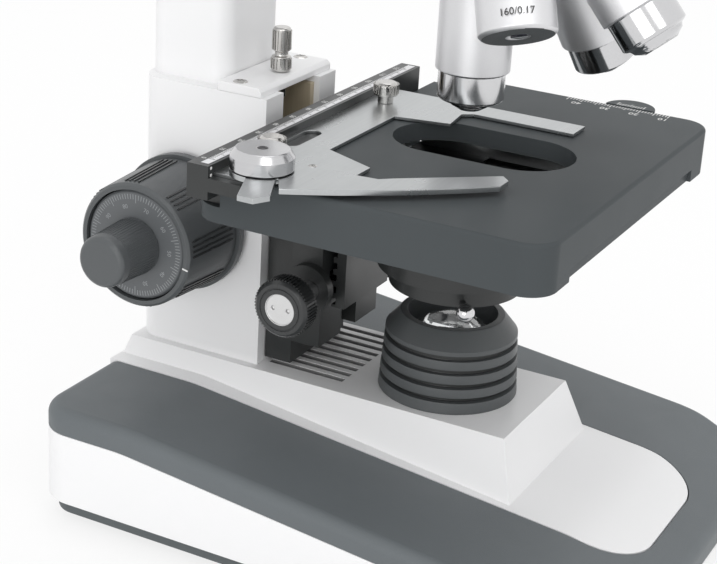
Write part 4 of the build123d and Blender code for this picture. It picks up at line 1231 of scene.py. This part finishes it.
@dataclass
class Stage(Assembly):
    """Stage plate with its support, racks and coaxial knobs."""

    top: float = 128.0
    line: Triple = (2.0, 0.3, 0.06)
    longer: float = 1.5
    scale_edge: float = 67.0
    scale_first: float = -42.0
    scale_count: int = 36
    number_x: float = 61.8
    number_first: float = -41.3
    number_height: float = 2.4
    vernier_edge: float = 68.8
    vernier_first: float = -32.0
    vernier_pitch: float = 0.9
    vernier_count: int = 11
    # Thin black sheet under the stage's right side, put there as painted shade.
    painted_shade_sheet: Triple = (9.0, 26.0, 0.4)
    painted_shade_spot: Triple = (28.9, 18.0, 113.3)
    knob_spot: Pair = (34.0, 37.7)
    knob_ridges: int = 48
    knob_bare: float = 3.0

    knobs: ClassVar[tuple[tuple[str, str, float], ...]] = (
        ("y_knob", "y_drive", 11.0), ("x_knob", "x_drive", 8.0),
    )
    coats: ClassVar[tuple[Coat, ...]] = (
        Coat("focus_carrier", BLACK_METAL, 0.4),
        Coat("focus_rack", STEEL),
        Coat("stage_support", BLACK_METAL, 0.5),
        Coat("stage_rails", STEEL, 0.2),
        Coat("y_rack", STEEL),
        Coat("vernier_index", STAGE, 0.25),
        Coat("stage_plate", STAGE, 0.35),
        Coat("stage_guides", STEEL, 0.2),
        Coat("knob_bracket", BLACK_METAL, 0.3),
        Coat("y_shaft", STEEL),
        Coat("y_knob", BLACK_PLASTIC, 0.4),
        Coat("x_shaft", STEEL),
        Coat("x_knob", BLACK_PLASTIC, 0.4),
    )

    def build(self) -> None:
        """Scale of the stage edge, the vernier's lines, a thin black sheet under the stage as painted shade,
        and the knobs' grips.
        """
        lines = Repeat.mesh(
            place(at(self.scale_edge, self.scale_first, self.top)), WHITE_INK, self.scale_count, self.line,
            pitch=1.0, spin=math.pi, every=LONG_EVERY, longer=self.longer,
        )
        fix(lines, "stage_lines", "y_stage", WHITE_INK)
        spots = [at(self.number_x, self.number_first + 10.0 * step, self.top) for step in range(4)]
        numbers = [(str(10 * step), place(spot, (0.0, 0.0, 90.0))) for step, spot in enumerate(spots, 1)]
        fix(figures(numbers, self.number_height), "stage_numbers", "y_stage", WHITE_INK)
        vernier = Repeat.mesh(
            place(at(self.vernier_edge, self.vernier_first, self.top)), WHITE_INK, self.vernier_count,
            self.line, pitch=self.vernier_pitch, every=LONG_EVERY, longer=self.longer,
        )
        fix(vernier, "vernier_lines", "focus_stage", WHITE_INK)
        # A thin black sheet under the stage, put there as painted shade.
        fix(slab(self.painted_shade_sheet, place(at(*self.painted_shade_spot)), 0.1), "stage_shield", "y_stage", BLACK_METAL)
        for node, body, radius in self.knobs:
            low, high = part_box(node)
            spot = at(*self.knob_spot, 0.0) + Vector((0.0, 0.0, (low.z + high.z) / 2))
            length = (high.z - low.z) / MM - self.knob_bare
            grip = knurl(place(spot), radius, length, self.knob_ridges, BLACK_PLASTIC)
            fix(grip, f"{node}_grip", body, BLACK_PLASTIC)


@dataclass
class SlideHolder(Assembly):
    """Slide bar, holder plate, spring clip and thumbscrews."""

    bar_top: float = 131.8
    strip: Triple = (130.0, 2.6, 0.12)
    strip_spot: Pair = (-10.0, 46.4)
    line: Triple = (1.1, 0.34, 0.06)
    line_count: int = 123
    first_x: float = -71.0
    line_y: float = 47.6
    number_y: float = 49.3
    number_height: float = 1.6
    dot_spot: Pair = (-75.4, 44.0)
    dot_levels: Pair = (128.8, 130.9)
    screw_radius: float = 3.9
    screw_head: float = 4.3
    screw_grip: float = 3.1
    screw_ridges: int = 24
    plate_screw: Pair = (-52.0, 24.5)
    plate_screw_radius: float = 1.3

    coats: ClassVar[tuple[Coat, ...]] = (
        Coat("x_bar", BLACK_METAL, 0.25),
        Coat("holder_plate", STEEL, 0.12),
        Coat("clip_pivot", TURNED_STEEL, 0.25),
        Coat("clip_lever", STEEL, 0.2),
        Coat("thumbscrew_left", NICKEL, 0.25),
        Coat("thumbscrew_right", NICKEL, 0.25),
    )

    def build(self) -> None:
        """Scale of the bar, knurled grips, a screw of the plate and the clip's rivet."""
        strip = slab(self.strip, place(at(*self.strip_spot, self.bar_top)), 0.03)
        fix(strip, "bar_strip", "slide_holder", SATIN)
        lines = Repeat.mesh(
            place(at(self.first_x, self.line_y, self.bar_top + 0.1), (0.0, 0.0, -90.0)), DARK_INK,
            self.line_count, self.line, pitch=1.0, every=LONG_EVERY, longer=1.9,
        )
        fix(lines, "bar_lines", "slide_holder", DARK_INK)
        spots = [at(self.first_x + 10.0 * step, self.number_y, self.bar_top) for step in range(13)]
        numbers = [(str(10 * step), place(spot, (0.0, 0.0, 180.0))) for step, spot in enumerate(spots)]
        fix(figures(numbers, self.number_height), "bar_numbers", "slide_holder", WHITE_INK)
        dot = [(0.0, 0.0), (0.5, 0.0), (0.4, 0.1), (0.0, 0.12)]
        dots = [
            lathe(dot, place(at(*self.dot_spot, level), (90.0, 0.0, 0.0)), 20) for level in self.dot_levels
        ]
        fix(joined(dots), "bar_dots", "slide_holder", WHITE_INK)
        for side in ("left", "right"):
            spot = place(on_top(f"thumbscrew_{side}", -self.screw_head / 2))
            grip = knurl(
                spot, self.screw_radius, self.screw_grip, self.screw_ridges, NICKEL, DEEP_KNURL
            )
            fix(grip, f"{side}_screw_grip", f"{side}_screw", NICKEL)
        spot = at(*self.plate_screw, 0.0)
        spot.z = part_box("holder_plate")[1].z
        Screws.put("plate_screw", "slide_holder", [spot], self.plate_screw_radius)
        rivet = [(0.0, -0.15), (0.7, -0.15), (0.8, 0.1), (1.25, 0.1), (1.4, 0.0), (1.4, -0.5), (0.0, -0.5)]
        fix(lathe(rivet, place(on_top("clip_pivot")), 32), "clip_rivet", "slide_holder", DARK_STEEL)


@dataclass
class Condenser(Assembly):
    """Condenser on its rack, with iris and knob."""

    knob_face: float = -42.0
    knob_radius: float = 9.2
    knob_length: float = 8.0
    grip_length: float = 5.6
    knob_ridges: int = 56
    pin_offset: float = 2.6
    pin_radius: float = 0.7

    coats: ClassVar[tuple[Coat, ...]] = (
        Coat("condenser_carrier", BLACK_METAL, 0.4),
        Coat("condenser_barrel", BLACK_METAL, 0.3),
        Coat("condenser_lens", LENS),
        Coat("iris_ring", BLACK_METAL, 0.2, ((on_lever, CHROME),)),
        Coat("condenser_shaft", CHROME, 0.2),
        Coat("condenser_knob", BLACK_PLASTIC, 0.2, ((on_cap, CAP),)),
    )

    def facing(self, depth: float, aside: float = 0.0) -> Matrix:
        """Place that looks out of the knob's face, some millimetres behind it and aside."""
        y, z = CONDENSER_KNOB_MM
        return place(at(self.knob_face + depth, y + aside, z), (0.0, -90.0, 0.0))

    def cutters(self, node: str) -> list[Mesh]:
        """Pin holes and the ring groove in the knob's face.

        Args:
            node: name of the node that is dressed.

        Returns:
            The shapes to take away, none from other nodes.
        """
        if node != "condenser_knob":
            return []
        pin = [(0.0, -1.0), (self.pin_radius, -1.0), (self.pin_radius, 1.5), (0.0, 1.5)]
        groove = [(6.6, -0.35), (7.0, -0.35), (7.0, 1.0), (6.6, 1.0), (6.6, -0.35)]
        holes = [lathe(pin, self.facing(0.5, side * self.pin_offset), 20) for side in (-1.0, 1.0)]
        return [*holes, lathe(groove, self.facing(0.0), 64)]

    def build(self) -> None:
        """Grip of the knob."""
        spot = self.facing(self.knob_length / 2)
        grip = knurl(
            spot, self.knob_radius, self.grip_length, self.knob_ridges, BLACK_PLASTIC, DEEP_KNURL
        )
        fix(grip, "condenser_grip", "condenser_drive", BLACK_PLASTIC)


@dataclass
class Nosepiece(Assembly):
    """Turret with four objectives."""

    apex: Triple = (0.0, 0.0, 236.213)
    shoulder: float = 53.213
    barrel_radius: float = 11.3
    band_mid: float = 5.0
    band_length: float = 4.0
    band_ridges: int = 60
    nose: float = 12.2
    flat_end: float = 0.1
    figure_height: float = 2.1
    figure_rise: float = 4.8
    reader_metres: Triple = (-0.48, -0.22, 0.29)

    short: ClassVar[str] = "objective_scanning"
    lengths: ClassVar[dict[str, float]] = {
        "objective_high": 44.3, "objective_oil": 44.3, "objective_low": 36.0, "objective_scanning": 22.0,
    }
    coats: ClassVar[tuple[Coat, ...]] = (
        Coat("nosepiece_mount", BLACK_METAL, 0.5),
        Coat("turret", BLACK_METAL, 0.4),
    )

    def axis(self, node: str) -> Vector:
        """Direction in which an objective points."""
        return (middle(node) - at(*self.apex)).normalized()

    def along(self, node: str, reach: float) -> Vector:
        """Point on an objective's axis, some millimetres from its shoulder."""
        return at(*self.apex) + self.axis(node) * (self.shoulder + reach) * MM

    def near_tip(self, node: str, back: float) -> Zone:
        """Zone at the lower end of an objective.

        Args:
            node: the objective.
            back: length of the zone in millimetres.

        Returns:
            A test for points of the zone.
        """
        start, axis = at(*self.apex), self.axis(node)
        reach = (self.shoulder + self.lengths[node] - back) * MM
        return lambda spot: (spot - start).dot(axis) > reach

    def dress(self) -> None:
        """Dress the turret, and each objective with a polished nose or a dark end."""
        super().dress()
        for node in self.lengths:
            flat = node == self.short
            end = self.near_tip(node, self.flat_end if flat else self.nose)
            Coat(node, SATIN, 0.25, ((end, LAMP_BLACK if flat else POLISHED),)).apply()

    def wrapped(self, node: str, words: str) -> Mesh:
        """Figures bent round an objective, toward the reader.

        Args:
            node: objective that carries them.
            words: plain figures.

        Returns:
            The placed mesh.
        """
        axis, radius = self.axis(node), self.barrel_radius * MM
        centre = self.along(node, self.lengths[node] - self.figure_rise)
        out = Vector(self.reader_metres) - centre
        out = (out - axis * out.dot(axis)).normalized()
        across = out.cross(axis)
        mesh = figures([(words, Matrix.Identity(4))], self.figure_height)
        for vert in mesh.vertices:
            x, y, z = vert.co
            bent = out * math.cos(x / radius) + across * math.sin(x / radius)
            vert.co = centre - axis * y + bent * (radius + z)
        return mesh

    def build(self) -> None:
        """Front lenses, knurled bands and figures of the objectives."""
        front = [(0.0, 0.06), (2.2, 0.05), (2.4, 0.0), (2.4, -0.5), (0.0, -0.5)]
        fronts, bands = [], []
        for node, length in self.lengths.items():
            turn = self.axis(node).to_track_quat("Z", "Y").to_matrix().to_4x4()
            tip = Matrix.Translation(self.along(node, length)) @ turn
            fronts.append(lathe(front, tip, 32))
            band = Matrix.Translation(self.along(node, self.band_mid)) @ turn
            bands.append(knurl(band, self.barrel_radius, self.band_length, self.band_ridges, SATIN))
        fix(joined(fronts), "front_lenses", "nosepiece", DARK_GLASS)
        fix(joined(bands), "objective_bands", "nosepiece", SATIN)
        fix(self.wrapped(self.short, "160/0.17"), "objective_figures", "nosepiece", DARK_INK)


@dataclass
class Head(Assembly):
    """Turning head with one eyepiece tube."""

    clamp_back: float = 4.0
    clamp_radius: float = 5.0
    clamp_length: float = 5.6
    clamp_ridges: int = 36

    coats: ClassVar[tuple[Coat, ...]] = (
        Coat("head_collar", BLACK_METAL, 0.4),
        Coat("head_housing", WHITE, 0.5),
        Coat("head_prism", LENS),
        Coat("eyepiece_tube", POLISHED, 0.3),
        Coat("eyepiece", BLACK_PLASTIC, 0.4),
        Coat("eye_lens", LENS),
        Coat("head_clamp_screw", NICKEL, 0.3),
    )

    def build(self) -> None:
        """Grip of the clamp screw."""
        centre = middle("head_clamp_screw")
        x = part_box("head_clamp_screw")[1].x - self.clamp_back * MM
        spot = place(Vector((x, centre.y, centre.z)), (0.0, 90.0, 0.0))
        grip = knurl(spot, self.clamp_radius, self.clamp_length, self.clamp_ridges, NICKEL)
        fix(grip, "clamp_grip", "head_clamp", NICKEL)


@dataclass
class Studio:
    """Floor, light, white surround and the camera of the photograph, in metres and degrees."""

    image_width: float = 717.0
    focal_pixels: float = 1787.0
    sensor: float = 36.0
    eye: Triple = (-0.4783, -0.2165, 0.2913)
    yaw: float = -63.20
    pitch: float = -22.09
    roll: float = 3.36
    floor_reach: float = 4.0
    floor_drop: float = 0.0002
    floor_glow: float = 0.8
    ambient: float = 0.90
    aim: Triple = (0.0, 0.0, 0.12)

    white: ClassVar[tuple[float, ...]] = (1.0, 1.0, 1.0, 1.0)
    lamps: ClassVar[tuple[tuple[str, Triple, float, float], ...]] = (
        ("key_light", (-0.9, -0.9, 1.3), 0.9, 5.0),
        ("fill_light", (-1.3, -0.2, 0.16), 0.8, 4.2),
        ("top_light", (0.4, 0.1, 1.4), 0.8, 2.5),
    )

    def build(self) -> None:
        """Make the whole surround."""
        self.surround()
        self.floor()
        for lamp in self.lamps:
            self.lamp(*lamp)
        self.camera()

    def surround(self) -> None:
        """White world that lights softly."""
        world = bpy.data.worlds.new("white_surround")
        world.use_nodes = True
        world.node_tree.nodes.clear()
        bpy.context.scene.world = world
        g = Graph(world.node_tree)
        light = g.first("ShaderNodeBackground", {"Color": self.white, "Strength": self.ambient})
        seen = g.first("ShaderNodeBackground", {"Color": self.white, "Strength": 1.0})
        both = g.first("ShaderNodeMixShader", {0: self.seen_rays(g), 1: light, 2: seen})
        g.add("ShaderNodeOutputWorld", {"Surface": both})

    def seen_rays(self, g: Graph) -> NodeSocket:
        """Mask of the rays that look at the background or mirror it.

        Args:
            g: graph that the mask is added to.

        Returns:
            The mask.
        """
        path = g.add("ShaderNodeLightPath").outputs
        mirrored = g.maths("MAXIMUM", path["Is Glossy Ray"], path["Is Transmission Ray"])
        return g.maths("MAXIMUM", path["Is Camera Ray"], mirrored)

    def floor(self) -> None:
        """Pale floor that keeps a soft shadow."""
        shell = bmesh.new()
        bmesh.ops.create_grid(shell, x_segments=8, y_segments=8, size=self.floor_reach)
        mesh = meshed(shell)
        material, g, shader = new_material("pale_floor")
        g.feed(shader, {"Base Color": (0.9, 0.9, 0.9, 1.0), "Roughness": 0.9})
        glow = g.first("ShaderNodeEmission", {"Color": self.white, "Strength": 1.0})
        share = g.maths("MULTIPLY", self.seen_rays(g), self.floor_glow)
        both = g.first("ShaderNodeMixShader", {0: share, 1: shader.outputs[0], 2: glow})
        g.feed(g.tree.nodes["Material Output"], {"Surface": both})
        mesh.materials.append(material)
        ground = show(mesh, "floor")
        ground.location.z = -self.floor_drop

    def lamp(self, name: str, spot: Triple, size: float, power: float) -> None:
        """Soft square lamp that looks at the stage.

        Args:
            name: name of the lamp.
            spot: where it hangs, in metres.
            size: side of the square in metres.
            power: watts.
        """
        light = bpy.data.lights.new(name, "AREA")
        light.size = size
        light.energy = power
        holder = show(light, name)
        holder.location = spot
        ahead = Vector(self.aim) - Vector(spot)
        holder.rotation_euler = ahead.to_track_quat("-Z", "Y").to_euler()

    def camera(self) -> None:
        """Camera of the photograph."""
        yaw, pitch, roll = (math.radians(a) for a in (self.yaw, self.pitch, self.roll))
        ahead = Vector(
            (-math.sin(yaw) * math.cos(pitch), math.cos(yaw) * math.cos(pitch), math.sin(pitch))
        )
        right = Vector((math.cos(yaw), math.sin(yaw), 0.0))
        up = right.cross(ahead)
        tilted = math.cos(roll) * right + math.sin(roll) * up
        upright = math.cos(roll) * up - math.sin(roll) * right
        lens = bpy.data.cameras.new("photo_camera")
        lens.sensor_width = self.sensor
        lens.lens = self.focal_pixels / self.image_width * self.sensor
        lens.clip_start, lens.clip_end = 0.01, 50.0
        camera = show(lens, "photo_camera")
        turn = Matrix((tilted, upright, -ahead)).transposed().to_4x4()
        camera.matrix_world = Matrix.Translation(self.eye) @ turn
        bpy.context.scene.camera = camera


def main() -> None:
    """Build and dress every sub-assembly, then the studio."""
    logging.basicConfig(level=logging.INFO, format="%(name)s: %(message)s")
    bpy.context.scene.view_settings.view_transform = "Standard"
    parts = (
        Base(), Lamp(), Stand(), FocusDrive(), Stage(), SlideHolder(), Condenser(), Nosepiece(), Head()
    )
    for part in parts:
        part.dress()
        part.build()
    Studio().build()


if __name__ == "__main__":
    main()
